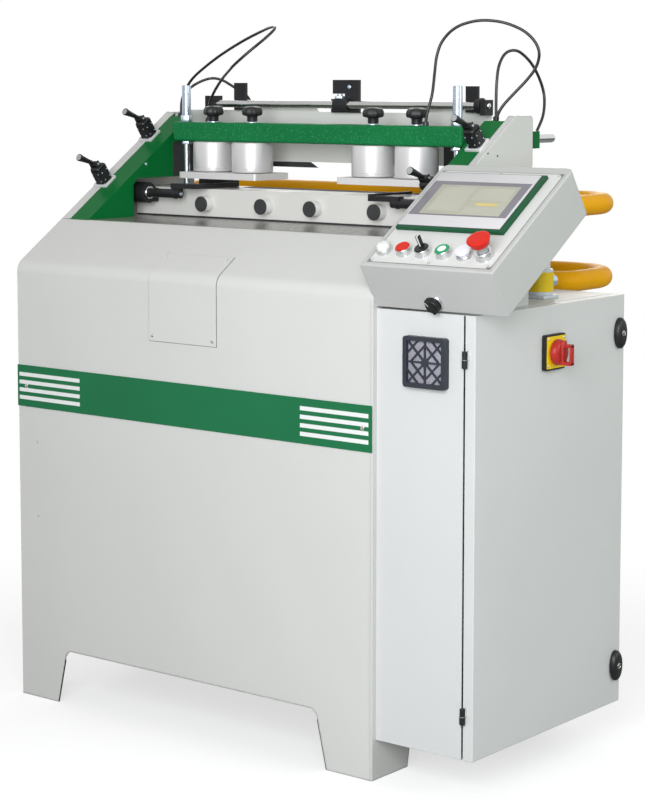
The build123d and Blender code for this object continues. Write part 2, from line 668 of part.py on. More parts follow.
knob = rod_y(u, (-6, 12), w, BUTTON_R)
pointer = prism_y([(-5, -15), (5, -15), (5, 12), (0, 19), (-5, 12)], (-18, -6))
knob += rod_y(u, (-15, -6), w, 13.5) + Pos(u, 0, w) * Rot(0, -SELECTOR_TURN, 0) * pointer
save("front_selector", console * knob)
mushroom = fillet(rod_z(0, 0, (39, 43), 21.5).edges().group_by(Axis.Z)[-1], 2.5)
mushroom += Pos(0, 0, 33.5) * Cone(17, 21.5, 11)
mushroom += rod_z(0, 0, (-12, 29), BUTTON_R)
save("emergency_stop", console * Pos(stop_u, BUTTON_V, 0) * mushroom)

# Cabinet box of five sheets with console gussets, hinge halves and cable gland
wall_x = (CAB_X[0] + CAB_SHEET, CAB_X[1])
floor_z = (CAB_Z[0], CAB_Z[0] + CAB_SHEET)
roof_z = (CAB_Z[1] - CAB_SHEET, CAB_Z[1])
gland_hole = rod_z(*GLAND_AT, (CAB_Z[0] - GLAND_L - 1, CAB_Z[0] + CAB_SHEET + 1), GLAND_BORE)
cabinet = [
    block((CAB_X[0], CAB_X[0] + CAB_SHEET), CAB_Y, CAB_Z),
    block(wall_x, CAB_Y, roof_z),
    block(wall_x, (CAB_Y[0], CAB_Y[0] + CAB_SHEET), (floor_z[1], roof_z[0])),
    block(wall_x, (CAB_Y[1] - CAB_SHEET, CAB_Y[1]), (floor_z[1], roof_z[0])),
    block(wall_x, CAB_Y, floor_z) - gland_hole,
    rod_z(*GLAND_AT, (CAB_Z[0] - GLAND_L, CAB_Z[0]), GLAND_R) - gland_hole,
]
rise = math.tan(math.radians(CONSOLE_TILT))
low_y = CONSOLE_AT[1] + CONSOLE_T * math.sin(math.radians(CONSOLE_TILT))
low_z = CONSOLE_AT[2] - CONSOLE_T * math.cos(math.radians(CONSOLE_TILT))
for x in GUSSET_X:
    web = [(y, CAB_Z[1]) for y in GUSSET_Y] + [(y, low_z + (y - low_y) * rise) for y in GUSSET_Y[::-1]]
    cabinet.append(prism_x(web, x))
for z0, z1 in HINGE_Z:
    middle = (z0 + z1) / 2
    knuckle = rod_z(HINGE_X, HINGE_Y, (z0, middle), HINGE_R) + rod_z(HINGE_X, HINGE_Y, (z0, z1), HINGE_PIN_R)
    cabinet.append(knuckle + block((650, 660), (-250, CAB_Y[0]), (z0, middle)))
save("cabinet_box", *cabinet)

# Cabinet door, a shallow tray with the other hinge halves
door = block(DOOR_X, CAB_Y, CAB_Z)
door = fillet(door.edges().group_by(Axis.X)[-1], 1.5)
door -= block(
    (DOOR_X[0] - 1, DOOR_X[1] - CAB_SHEET),
    (CAB_Y[0] + CAB_SHEET, CAB_Y[1] - CAB_SHEET),
    (CAB_Z[0] + CAB_SHEET, CAB_Z[1] - CAB_SHEET),
)
for z0, z1 in HINGE_Z:
    above = ((z0 + z1) / 2 + 0.4, z1)
    door += rod_z(HINGE_X, HINGE_Y, above, HINGE_R) + block((660, 667), (-250, CAB_Y[0]), above)
    door -= rod_z(HINGE_X, HINGE_Y, (z0, z1 + 1), HINGE_PIN_R + 0.3)
for z in LOCK_Z:
    door -= rod_x((DOOR_X[1] - 5, DOOR_X[1] + 1), LOCK_Y, z, 6.4)
save("cabinet_door", door)
for node, z in (("upper_lock", LOCK_Z[0]), ("lower_lock", LOCK_Z[1])):
    seat = Plane(origin=(DOOR_X[1] + 0.4, LOCK_Y, z), x_dir=(0, 1, 0), z_dir=(1, 0, 0))
    head = seat * extrude(Ellipse(LOCK_SIZE[0] / 2, LOCK_SIZE[1] / 2), LOCK_T)
    head = fillet(head.edges().group_by(Axis.X)[-1], 6)
    head -= block((DOOR_X[1] + 8, DOOR_X[1] + 13), (LOCK_Y - 1.5, LOCK_Y + 1.5), (z - 5, z + 5))
    tongue = block((662, 665), (LOCK_Y - 6, LOCK_Y + 6), (z - 26, z + 6))
    save(node, head + rod_x((664, DOOR_X[1] + 2), LOCK_Y, z, 6) + tongue)

# Fan filter on the cabinet front
reach = FILTER_W / 2
window = reach - 8
filter_y = (CAB_Y[0] - FILTER_T, CAB_Y[0])
box_x = (FILTER_X - reach, FILTER_X + reach)
box_z = (FILTER_Z - reach, FILTER_Z + reach)
rim = fillet(block(box_x, filter_y, box_z).edges().filter_by(Axis.Y), 6)
rim -= block(
    (FILTER_X - window, FILTER_X + window),
    (filter_y[0] - 1, filter_y[1] - 6),
    (FILTER_Z - window, FILTER_Z + window),
)
grille = Rot(0, 45, 0) * Box(FILTER_HUB, FILTER_BAR[0], FILTER_HUB)
for turn in (0, 45, 90, 135):
    grille += Rot(0, turn, 0) * Box(3 * window, *FILTER_BAR)
for turn in (45, 135, 225, 315):
    for away, length in FILTER_DIAMONDS:
        grille += Rot(0, turn, 0) * Pos(0, 0, away) * Box(length, *FILTER_BAR)
grille &= Box(2 * window + 2, FILTER_BAR[0], 2 * window + 2)
save("fan_filter", rim + Pos(FILTER_X, CAB_Y[0] - 8.5, FILTER_Z) * grille)

# Main switch on the door
reach = SWITCH_W / 2
base = block(
    (DOOR_X[1], DOOR_X[1] + 10),
    (SWITCH_Y - reach, SWITCH_Y + reach),
    (SWITCH_Z - reach, SWITCH_Z + reach),
)
base = fillet(base.edges().filter_by(Axis.X), 5)
base -= rod_x((DOOR_X[1] + 4, DOOR_X[1] + 11), SWITCH_Y, SWITCH_Z, 8.3)
save("switch_base", base)
handle = rod_x((DOOR_X[1] + 11, DOOR_X[1] + 25), SWITCH_Y, SWITCH_Z, 24)
handle += rod_x((DOOR_X[1] + 4.5, DOOR_X[1] + 12), SWITCH_Y, SWITCH_Z, 8)
grip = block((DOOR_X[1] + 24, DOOR_X[1] + 45), (SWITCH_Y - 8, SWITCH_Y + 8), (SWITCH_Z - 23, SWITCH_Z + 23))
grip = fillet(grip.edges().filter_by(Axis.X), 5)
grip -= block((DOOR_X[1] + 31, DOOR_X[1] + 40), (SWITCH_Y - 9, SWITCH_Y + 9), (SWITCH_Z - 14, SWITCH_Z + 14))
save("switch_handle", handle + grip)

# Mounting plate with electric devices inside the cabinet
back = 470.0
board = 473.0
devices = [block((back, board), (-225, 235), (110, 840))]
for y in (-210, 220):
    for z in (125, 825):
        devices.append(rod_x((CAB_X[0] + CAB_SHEET, back), y, z, 5))
devices.append(block((board, 560), (-200, -80), (590, 800)))
devices.append(block((board, 540), (-50, 40), (640, 790)))
devices.append(block((board, 545), (60, 210), (640, 770)))
for y in range(-200, 161, 60):
    devices.append(block((board, 535), (y, y + 45), (430, 510)))
devices.append(block((board, 515), (-200, 215), (290, 340)))
for z in (540, 370, 220):
    devices.append(block((board, 525), (-215, 225), (z, z + 40)))
save("control_plate", *devices)

# Air regulator on the cabinet, with a threaded inlet
x, y = AIR_AT
unit = block((x - 26, x + 26), (y - 26, y + 26), (CAB_Z[1], CAB_Z[1] + 6))
unit += rod_z(x, y, (CAB_Z[1] + 5, CAB_Z[1] + 56), 25)
unit += rod_z(x, y, (CAB_Z[1] + 55, CAB_Z[1] + 80), 19)
unit += rod_y(x, (y + 10, y + 45), CAB_Z[1] + 30, 12)
unit -= rod_y(x, (y + 30, y + 46), CAB_Z[1] + 30, 6)
save("air_unit", unit)

# Rear guard: two tube hoops with fixing tabs on the rear flanges
guard = None
for z in GUARD_Z:
    path = FilletPolyline(
        (-GUARD_END, GUARD_Y[0], z),
        (-GUARD_X, GUARD_Y[0], z),
        (-GUARD_X, GUARD_Y[1], z),
        (GUARD_X, GUARD_Y[1], z),
        (GUARD_X, GUARD_Y[0], z),
        (GUARD_END, GUARD_Y[0], z),
        radius=[GUARD_BEND[0], GUARD_BEND[1], GUARD_BEND[1], GUARD_BEND[0]],
    )
    section = Plane(origin=(-GUARD_END, GUARD_Y[0], z), z_dir=(-1, 0, 0)) * Circle(GUARD_R)
    hoop = sweep(section, path=path)
    for side in (-1, 1):
        hoop += block(sides(TAB_X, side), (REAR_Y, GUARD_Y[0] + 10), (z - TAB_H / 2, z + TAB_H / 2))
    guard = hoop if guard is None else guard + hoop
save("rear_guard", guard)

# Cutter carriage on the rails, with its nut bore and the upright guide
slide = block(SLIDE_X, (178, 242), (866, SCREW_Z + 16))
for y in RAIL_Y:
    slot = (y - RAIL_W / 2 - 0.3, y + RAIL_W / 2 + 0.3)
    slide -= block((SLIDE_X[0] - 1, SLIDE_X[1] + 1), slot, (860, rail_top + 0.3))
slide += block(LIFT_X, (222, 236), (SCREW_Z + 10, 992))
slide -= rod_x((SLIDE_X[0] - 1, SLIDE_X[1] + 1), SCREW_Y, SCREW_Z, SCREW_R + RUN_FIT)
save("carriage", slide)
save("ball_screw", rod_x((-SCREW_END, SCREW_END), SCREW_Y, SCREW_Z, SCREW_R))

# Lift head with spindle motor
head = block(LIFT_X, (236.3, 252), (910, 1004))
head += block((LIFT_X[0] + 5, LIFT_X[1] - 5), (250, 275), (HEAD_Z - 25, HEAD_Z + 25))
head += rod_x(MOTOR_X, HEAD_Y, HEAD_Z, MOTOR_R)
head -= rod_x((MOTOR_X[0] - 1, MOTOR_X[0] + 44), HEAD_Y, HEAD_Z, SPINDLE_R + RUN_FIT)
save("lift_head", head)

# Cutter on its spindle
teeth = []
for number in range(CUTTER_TEETH):
    start = 2 * math.pi * number / CUTTER_TEETH
    for turn, radius in ((0.0, CUTTER_R), (0.3, CUTTER_R - 3), (0.36, CUTTER_R - 14), (0.93, CUTTER_R - 11)):
        angle = start + turn * 2 * math.pi / CUTTER_TEETH
        teeth.append((HEAD_Y + radius * math.cos(angle), HEAD_Z + radius * math.sin(angle)))
disc = prism_x(teeth, (-CUTTER_T / 2, CUTTER_T / 2))
disc += rod_x((-18, MOTOR_X[0] + 40), HEAD_Y, HEAD_Z, SPINDLE_R)
disc += rod_x((-14, 14), HEAD_Y, HEAD_Z, 20)
save("cutter", disc)


# Free hoses: a tube along straight runs joined by tangent arcs
def hose(node, points):
    """Sweep one hose and print its length and its smallest bend radius."""
    route = [Vector(*p) for p in points]
    radii = []
    for a, b, c in zip(route, route[1:], route[2:]):
        turn = math.radians((b - a).get_angle(c - b))
        shorter = min((b - a).length, (c - b).length)
        radii.append(0.45 * shorter / math.tan(turn / 2))
    path = FilletPolyline(*points, radius=radii)
    start = Plane(origin=points[0], z_dir=route[1] - route[0])
    tube = sweep(start * Circle(HOSE_R), path=path)
    print(node, "length", round(path.length), "smallest radius", round(min(radii)))
    print("volume share", round(tube.volume / (math.pi * HOSE_R**2 * path.length), 3))
    save(node, tube)


# From the clamp beam up and over into the right side plate
hose("hose_a", HOSE_A)
# From the right side plate back to its lug
hose("hose_b", HOSE_B)
# From the left side plate forward in a loop to the clamp beam
hose("hose_c", HOSE_C)
# From the left side plate over the stop shaft to the hood
hose("hose_d", HOSE_D)
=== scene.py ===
# %% [markdown]
# # A box joint machine
# The machine cuts finger joints in the ends of boards. The frame already holds every solid at its real place
# and size, so nothing is built again here that the frame has right. Blender adds the finish of each surface,
# the air hoses, and the small forms that make a machine look used and real.

# %% Load the frame
import math

import bmesh
import bpy
from mathutils import Matrix, Vector


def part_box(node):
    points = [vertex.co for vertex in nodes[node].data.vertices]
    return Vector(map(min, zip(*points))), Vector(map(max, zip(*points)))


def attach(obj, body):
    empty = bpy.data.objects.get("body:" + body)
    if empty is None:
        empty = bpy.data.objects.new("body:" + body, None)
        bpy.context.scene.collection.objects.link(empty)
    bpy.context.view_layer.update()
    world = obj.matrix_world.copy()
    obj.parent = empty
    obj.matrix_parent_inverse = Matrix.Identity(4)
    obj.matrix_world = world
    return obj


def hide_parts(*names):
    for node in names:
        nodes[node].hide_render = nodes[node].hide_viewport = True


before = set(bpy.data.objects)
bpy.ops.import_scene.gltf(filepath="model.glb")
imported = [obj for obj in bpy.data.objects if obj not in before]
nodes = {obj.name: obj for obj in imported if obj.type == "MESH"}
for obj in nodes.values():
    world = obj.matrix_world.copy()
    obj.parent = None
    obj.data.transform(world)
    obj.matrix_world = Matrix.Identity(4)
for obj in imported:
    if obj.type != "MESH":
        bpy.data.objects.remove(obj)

scene = bpy.context.scene
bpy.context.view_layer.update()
MM = 0.001

# %% [markdown]
# ## The camera
# A product picture is usually taken from a few metres away with a long lens, so that upright edges stay
# upright. The camera stands to the right and a little above the table. Its lens is shifted downwards
# instead of tilted further, the way an architect's lens is, which keeps the sides from leaning.

# %% Camera
CAMERA_AT = (2.8097, -3.3270, 1.2868)
CAMERA_YAW, CAMERA_PITCH = 38.76, 5.84
SENSOR_WIDTH, LENS, LENS_SHIFT = 36.0, 97.02, -0.125
view = bpy.data.cameras.new("camera")
view.sensor_width = SENSOR_WIDTH
view.lens = LENS
view.shift_y = LENS_SHIFT
camera = bpy.data.objects.new("camera", view)
camera.location = CAMERA_AT
camera.rotation_euler = (math.radians(90 - CAMERA_PITCH), 0, math.radians(CAMERA_YAW))
scene.collection.objects.link(camera)
scene.camera = camera
scene.view_settings.view_transform = "Standard"
print("camera at", CAMERA_AT)

# %% [markdown]
# ## Small helpers for shader nodes
# Every finish below is a tree of nodes. Wiring one by hand takes three lines a node, so one helper makes a
# node and fills its sockets at once: a value is set, and a socket is linked.

# %% Node helpers
def node(tree, kind, values=None, **settings):
    """Add a shader node, set its options, and fill its inputs with values or links."""
    made = tree.nodes.new("ShaderNode" + kind)
    for name, value in settings.items():
        setattr(made, name, value)
    for name, value in (values or {}).items():
        if isinstance(value, bpy.types.NodeSocket):
            tree.links.new(value, made.inputs[name])
        else:
            made.inputs[name].default_value = value
    return made


def node_group(name, inputs, outputs):
    """Start a node group and give back its tree, its given values and its results."""
    tree = bpy.data.node_groups.new(name, "ShaderNodeTree")
    for label, kind, value in inputs:
        socket = tree.interface.new_socket(label, in_out="INPUT", socket_type="NodeSocket" + kind)
        socket.default_value = value
    for label, kind in outputs:
        tree.interface.new_socket(label, in_out="OUTPUT", socket_type="NodeSocket" + kind)
    return tree, tree.nodes.new("NodeGroupInput").outputs, tree.nodes.new("NodeGroupOutput").inputs


def use_group(tree, group, values):
    """Place a node group in a material with its own values."""
    return node(tree, "Group", values, node_tree=group).outputs


# %% [markdown]
# ## Studio floor, world and lamps
# The floor is a grey disc that is lifted to a pale tone for the camera alone. It keeps the machine's own soft
# shadow and fades to white further out, so no horizon shows. The world lights the object at about a third of
# full strength and looks plain white to the camera and in reflections. Four large lamps do the rest: a cool
# one from the front, a weak warm one from above, one beside the cabinet and one behind, so that each side of
# the machine has its own tone.

# %% Floor and world
FLOOR_R = 14.0
FLOOR_FADE = (0.8, 1.7)
FLOOR_GREY = (0.4, 0.4, 0.4, 1)
FLOOR_LIFT = 0.64
WORLD_LIGHT = 0.37
WHITE = (1, 1, 1, 1)


def studio_floor():
    """Floor that is matt near the machine and plain white to the camera further out."""
    material = bpy.data.materials.new("studio_floor")
    material.use_nodes = True
    tree = material.node_tree
    tree.nodes.clear()
    matt = node(tree, "BsdfDiffuse", {"Color": FLOOR_GREY})
    white = node(tree, "Emission", {"Color": WHITE, "Strength": 1.0})
    place = node(tree, "TexCoord").outputs["Object"]
    away = node(tree, "VectorMath", {0: place}, operation="LENGTH").outputs["Value"]
    far = node(tree, "MapRange", {
        "Value": away, "From Min": FLOOR_FADE[0], "From Max": FLOOR_FADE[1],
    }, interpolation_type="SMOOTHSTEP").outputs["Result"]
    seen = node(tree, "LightPath").outputs["Is Camera Ray"]
    share = node(tree, "Math", {0: far, 1: seen}, operation="MULTIPLY").outputs[0]
    glow = node(tree, "Math", {0: seen, 1: FLOOR_LIFT}, operation="MULTIPLY").outputs[0]
    lifted = node(tree, "Emission", {"Color": WHITE, "Strength": glow})
    near = node(tree, "AddShader", {0: matt.outputs[0], 1: lifted.outputs[0]})
    mixed = node(tree, "MixShader", {0: share, 1: near.outputs[0], 2: white.outputs[0]})
    node(tree, "OutputMaterial", {"Surface": mixed.outputs[0]})
    return material


disc = bmesh.new()
bmesh.ops.create_circle(disc, cap_ends=True, radius=FLOOR_R, segments=96)
floor_mesh = bpy.data.meshes.new("floor")
disc.to_mesh(floor_mesh)
disc.free()
floor_mesh.materials.append(studio_floor())
floor = bpy.data.objects.new("floor", floor_mesh)
scene.collection.objects.link(floor)

world = bpy.data.worlds.new("studio")
world.use_nodes = True
scene.world = world
sky = world.node_tree
sky.nodes.clear()
path = node(sky, "LightPath").outputs
seen = node(sky, "Math", {0: path["Is Camera Ray"], 1: path["Is Glossy Ray"]}, operation="MAXIMUM").outputs[0]
seen = node(sky, "Math", {0: seen, 1: path["Is Transmission Ray"]}, operation="MAXIMUM").outputs[0]
level = node(sky, "MapRange", {"Value": seen, "To Min": WORLD_LIGHT, "To Max": 1.0}).outputs["Result"]
backdrop = node(sky, "Background", {"Color": WHITE, "Strength": level})
node(sky, "OutputWorld", {"Surface": backdrop.outputs[0]})
print("floor and world ready")


# %% Lamps
def lamp(name, place, target, size, power, colour):
    """Large soft area lamp that points at a target."""
    light = bpy.data.lights.new(name, "AREA")
    light.shape = "RECTANGLE"
    light.size, light.size_y = size
    light.energy = power
    light.color = colour
    made = bpy.data.objects.new(name, light)
    made.location = place
    made.rotation_euler = (Vector(target) - Vector(place)).to_track_quat("-Z", "Y").to_euler()
    scene.collection.objects.link(made)
    return made


lamp("key_lamp", (1.7, -2.8, 1.65), (0.3, 0.0, 0.55), (2.0, 1.7), 108, (0.95, 0.98, 1.0))
lamp("top_lamp", (0.2, -0.9, 3.6), (0.0, 0.0, 0.9), (2.0, 2.0), 4, (1.0, 0.88, 0.70))
lamp("side_lamp", (3.6, 0.9, 1.9), (0.5, 0.0, 0.6), (1.8, 1.8), 38, (0.90, 1.0, 0.93))
lamp("back_lamp", (-2.2, 3.2, 2.0), (0.0, 0.2, 0.6), (2.2, 2.0), 45, (1.0, 1.0, 0.98))
print("four lamps placed")

# %% [markdown]
# ## Effects that many finishes share
# Paint is never one flat colour: it is a little uneven, slightly grainy, and paler or worn along its edges.
# Each such effect is a node group with named inputs, so a finish only chooses its own values. The groups give
# colours, values and normals, and the shader itself stays in the material.

# %% Shared effects
NOISE_LOW, NOISE_HIGH = 0.3, 0.7


def clouds(tree, scale, detail):
    """Noise in Object coordinates, stretched to swing between -1 and 1."""
    place = node(tree, "TexCoord").outputs["Object"]
    noise = node(tree, "TexNoise", {"Vector": place, "Scale": scale, "Detail": detail}).outputs["Fac"]
    return node(tree, "MapRange", {
        "Value": noise, "From Min": NOISE_LOW, "From Max": NOISE_HIGH, "To Min": -1.0,
    }).outputs[0]


mottle, given, result = node_group(
    "mottle",
    [("Colour", "Color", (1, 1, 1, 1)), ("Scale", "Float", 5.0), ("Spread", "Float", 0.1)],
    [("Colour", "Color")],
)
swing = clouds(mottle, given["Scale"], 5.0)
value = node(mottle, "Math", {0: swing, 1: given["Spread"], 2: 1.0}, operation="MULTIPLY_ADD").outputs[0]
shaded = node(mottle, "HueSaturation", {"Color": given["Colour"], "Value": value})
mottle.links.new(shaded.outputs[0], result["Colour"])

uneven, given, result = node_group(
    "uneven",
    [("Level", "Float", 0.4), ("Scale", "Float", 9.0), ("Spread", "Float", 0.1)],
    [("Value", "Float")],
)
swing = clouds(uneven, given["Scale"], 6.0)
value = node(uneven, "Math", {0: swing, 1: given["Spread"], 2: given["Level"]}, operation="MULTIPLY_ADD")
uneven.links.new(value.outputs[0], result["Value"])

grain, given, result = node_group("grain", [("Stretch", "Vector", (1, 1, 1))], [("Height", "Float")])
place = node(grain, "TexCoord").outputs["Object"]
drawn = node(grain, "VectorMath", {0: place, 1: given["Stretch"]}, operation="MULTIPLY").outputs[0]
coarse = node(grain, "TexNoise", {"Vector": drawn, "Scale": 1.0, "Detail": 3.0}).outputs["Fac"]
grain.links.new(coarse, result["Height"])

soft_edges, given, result = node_group(
    "soft_edges", [("Radius", "Float", 0.001)], [("Normal", "Vector"), ("Edge", "Float")]
)
rounded = node(soft_edges, "Bevel", {"Radius": given["Radius"]}, samples=4).outputs[0]
flat = node(soft_edges, "NewGeometry").outputs["Normal"]
meet = node(soft_edges, "VectorMath", {0: rounded, 1: flat}, operation="DOT_PRODUCT").outputs["Value"]
edge = node(soft_edges, "MapRange", {"Value": meet, "From Min": 0.99, "From Max": 0.8}).outputs[0]
soft_edges.links.new(rounded, result["Normal"])
soft_edges.links.new(edge, result["Edge"])

speckle, given, result = node_group(
    "speckle", [("Scale", "Float", 400.0), ("Share", "Float", 0.6)], [("Mask", "Float")]
)
place = node(speckle, "TexCoord").outputs["Object"]
dots = node(speckle, "TexNoise", {"Vector": place, "Scale": given["Scale"], "Detail": 2.0}).outputs["Fac"]
above = node(speckle, "Math", {0: dots, 1: given["Share"]}, operation="SUBTRACT").outputs[0]
mask = node(speckle, "MapRange", {"Value": above, "From Max": 0.08}).outputs[0]
speckle.links.new(mask, result["Mask"])

print("node groups:", [group.name for group in bpy.data.node_groups])

# %% [markdown]
# ## One recipe for solid finishes
# Painted sheet, plastic, rubber and metal differ in their numbers, not in how they are built: an uneven
# colour, an uneven gloss, a fine grain as bump, softened edges, and an edge colour where hands and tools rub.
# So one function makes them all, and each finish is a short call with its own values.

# %% Finish recipe
GLOSS_SCALE, GRAIN_DEPTH = 14.0, 0.0004


def finish(name, colour, rough, metal=0.0, spread=0.05, patch=6.0, stretch=(700, 700, 700), bump=0.1,
           edge_r=0.8, edge_colour=None, edge_share=0.5, gloss_spread=0.06, shine=0.5, speck=None, glow=0.0):
    """Make a finish from its colour, roughness, unevenness, grain and edges (edge radius in millimetres)."""
    material = bpy.data.materials.new(name)
    material.use_nodes = True
    material.diffuse_color = (*colour, 1)
    tree = material.node_tree
    shader = tree.nodes["Principled BSDF"]
    shader.inputs["Metallic"].default_value = metal
    shader.inputs["Specular IOR Level"].default_value = shine
    shader.inputs["Emission Color"].default_value = (*colour, 1)
    shader.inputs["Emission Strength"].default_value = glow
    skin = use_group(tree, mottle, {"Colour": (*colour, 1), "Scale": patch, "Spread": spread})["Colour"]
    if speck:
        speck_colour, speck_scale, speck_share = speck
        dots = use_group(tree, speckle, {"Scale": speck_scale, "Share": speck_share})["Mask"]
        skin = node(tree, "MixRGB", {0: dots, 1: skin, 2: (*speck_colour, 1)}).outputs[0]
    edges = use_group(tree, soft_edges, {"Radius": edge_r * MM})
    if edge_colour:
        rubbed = node(tree, "Math", {0: edges["Edge"], 1: edge_share}, operation="MULTIPLY").outputs[0]
        skin = node(tree, "MixRGB", {0: rubbed, 1: skin, 2: (*edge_colour, 1)}).outputs[0]
    tree.links.new(skin, shader.inputs["Base Color"])
    gloss = use_group(tree, uneven, {"Level": rough, "Scale": GLOSS_SCALE, "Spread": gloss_spread})["Value"]
    tree.links.new(gloss, shader.inputs["Roughness"])
    height = use_group(tree, grain, {"Stretch": stretch})["Height"]
    relief = node(tree, "Bump", {
        "Strength": bump, "Distance": GRAIN_DEPTH, "Height": height, "Normal": edges["Normal"],
    })
    tree.links.new(relief.outputs[0], shader.inputs["Normal"])
    return material


def paint(material, *names):
    """Give a finish to solids of the frame."""
    for name in names:
        slots = nodes[name].data.materials
        if not slots:
            slots.append(material)
        for index in range(len(slots)):
            slots[index] = material


# %% [markdown]
# ## Painted sheet metal
# The body, console and cabinet are folded sheet with a light grey powder coat, which has a very fine orange
# peel. The console lid and the dust hood get lighter copies of that coat as painted light, and the console
# case a darker copy as painted shade. The green of the side plates and of the beam is a structured enamel;
# the beam's tiny glints are lighter specks in its colour, partly its texture and partly painted glints. The
# tube guard is a glossy signal yellow, and the hidden frame is dark grey.

# %% Paints
def coat(name, colour, **edges):
    """Light grey powder coat."""
    return finish(name, colour, 0.42, spread=0.018, patch=3.0, bump=0.12, **edges)


body_paint = coat("body_paint", (0.60, 0.60, 0.58), edge_r=1.2, edge_colour=(0.70, 0.70, 0.67),
                  edge_share=0.35)
shell_paint = coat("shell_paint", (0.60, 0.60, 0.58), edge_r=6.0)
# Painted light: the console lid gets a lighter copy of the same grey coat.
lid_coat_painted_light = coat("lid_coat_painted_light", (0.65, 0.65, 0.63), edge_r=1.0)
# Painted shade: the console case gets a darker copy of the same grey coat.
case_coat_painted_shade = coat("case_coat_painted_shade", (0.48, 0.485, 0.47), edge_r=1.5, edge_colour=(0.62, 0.62, 0.60),
                  edge_share=0.4)
cabinet_paint = coat("cabinet_paint", (0.60, 0.605, 0.60), edge_r=1.5, edge_colour=(0.70, 0.70, 0.69),
                     edge_share=0.35)
# Painted light: the dust hood gets a lighter copy of the grey coat, to lift it where the beam shades it.
hood_coat_painted_light = finish("hood_coat_painted_light", (0.68, 0.68, 0.65), 0.4, spread=0.02, patch=4.0, bump=0.1, edge_r=1.2)
table_paint = finish("table_paint", (0.66, 0.65, 0.625), 0.36, spread=0.02, patch=5.0, bump=0.1,
                     edge_r=1.0, edge_colour=(0.75, 0.75, 0.73), edge_share=0.4)
green_enamel = finish("green_enamel", (0.0015, 0.135, 0.028), 0.4, spread=0.06, patch=7.0, bump=0.3,
                      stretch=(420, 420, 420), edge_r=1.5, edge_colour=(0.03, 0.22, 0.08), edge_share=0.5,
                      shine=0.08)
# The lighter green specks are partly the hammer texture and partly painted glints.
green_hammer = finish("green_hammer", (0.008, 0.165, 0.048), 0.4, spread=0.08, patch=9.0, bump=0.5,
                      stretch=(380, 380, 380), edge_r=2.0, edge_colour=(0.05, 0.27, 0.11), edge_share=0.5,
                      shine=0.08, speck=((0.045, 0.26, 0.12), 420.0, 0.60))
green_film = finish("green_film", (0.010, 0.142, 0.054), 0.45, spread=0.05, patch=5.0, bump=0.05,
                    edge_r=0.4, edge_colour=(0.3, 0.5, 0.4), edge_share=0.4, shine=0.25)
white_film = finish("white_film", (0.76, 0.77, 0.76), 0.32, spread=0.02, bump=0.05, edge_r=0.2)
yellow_paint = finish("yellow_paint", (0.86, 0.40, 0.002), 0.45, spread=0.05, patch=5.0, bump=0.12,
                      edge_r=1.0, shine=0.12)
frame_paint = finish("frame_paint", (0.10, 0.105, 0.11), 0.5, spread=0.08, bump=0.2, edge_r=1.0,
                     edge_colour=(0.2, 0.2, 0.2))
paint(body_paint, "rear_panel", "access_cover")
paint(lid_coat_painted_light, "console_panel")
paint(case_coat_painted_shade, "console_case")
paint(shell_paint, "body_shell")
paint(cabinet_paint, "cabinet_box", "cabinet_door")
paint(hood_coat_painted_light, "dust_hood")
paint(table_paint, "table_beam")
paint(green_enamel, "left_side_plate", "right_side_plate")
paint(green_hammer, "clamp_beam")
paint(green_film, "front_strip")
paint(yellow_paint, "rear_guard")
paint(frame_paint, "base_frame")
print("painted solids done")

# %% [markdown]
# ## Metals
# Turned, ground and plated steel look alike only from afar. A turned face has fine rings, a drawn bar has
# fine lines along it, and zinc plate is bluish and cloudy. The grain group is stretched to get each of them.

# %% Metals
pale_plate = finish("pale_plate", (0.70, 0.69, 0.685), 0.4, metal=0.25, spread=0.03, patch=8.0, bump=0.12,
                    stretch=(60, 900, 900), edge_r=0.8, edge_colour=(0.85, 0.85, 0.85))
can_metal = finish("can_metal", (0.62, 0.605, 0.61), 0.38, metal=0.35, spread=0.02, patch=12.0, bump=0.12,
                   stretch=(900, 900, 60), edge_r=1.0)
ground_bar = finish("ground_bar", (0.50, 0.50, 0.49), 0.22, metal=1.0, spread=0.05, patch=20.0, bump=0.06,
                    stretch=(40, 1400, 1400), edge_r=0.5)
rod_steel = finish("rod_steel", (0.44, 0.51, 0.60), 0.28, metal=0.95, spread=0.08, patch=40.0, bump=0.1,
                   edge_r=0.4)
# The ledge steel is darker than the steel elsewhere: painted shade.
ledge_steel_painted_shade = finish("ledge_steel_painted_shade", (0.25, 0.245, 0.23), 0.26, metal=0.35, spread=0.02, patch=5.0, bump=0.03,
                     stretch=(60, 900, 900), edge_r=0.2, gloss_spread=0.02)
copper_wire = finish("copper_wire", (0.42, 0.16, 0.07), 0.4, metal=0.6, spread=0.1, patch=60.0, bump=0.3,
                     stretch=(200, 200, 2400), edge_r=0.4)
zinc = finish("zinc", (0.50, 0.58, 0.68), 0.3, metal=0.9, spread=0.14, patch=40.0, bump=0.1, edge_r=0.4,
              edge_colour=(0.75, 0.8, 0.85), edge_share=0.4, gloss_spread=0.1)
steel = finish("steel", (0.58, 0.57, 0.55), 0.2, metal=1.0, spread=0.06, patch=20.0, bump=0.06,
               stretch=(40, 1400, 1400), edge_r=0.5, edge_colour=(0.8, 0.8, 0.8))
chrome = finish("chrome", (0.66, 0.67, 0.68), 0.12, metal=1.0, spread=0.03, bump=0.03, edge_r=0.3,
                gloss_spread=0.03)
black_steel = finish("black_steel", (0.020, 0.020, 0.022), 0.42, metal=0.3, spread=0.2, patch=25.0, bump=0.25,
                     edge_r=0.6, edge_colour=(0.10, 0.10, 0.10), edge_share=0.6, shine=0.3)
paint(pale_plate, "left_pressure_plate", "right_pressure_plate")
paint(can_metal, "clamp_cylinders")
paint(zinc, "beam_nuts", "panel_screws")
paint(rod_steel, "steel_rods")
paint(ground_bar, "stop_shaft")
paint(steel, "ball_screw", "cutter", "carriage", "lift_head")
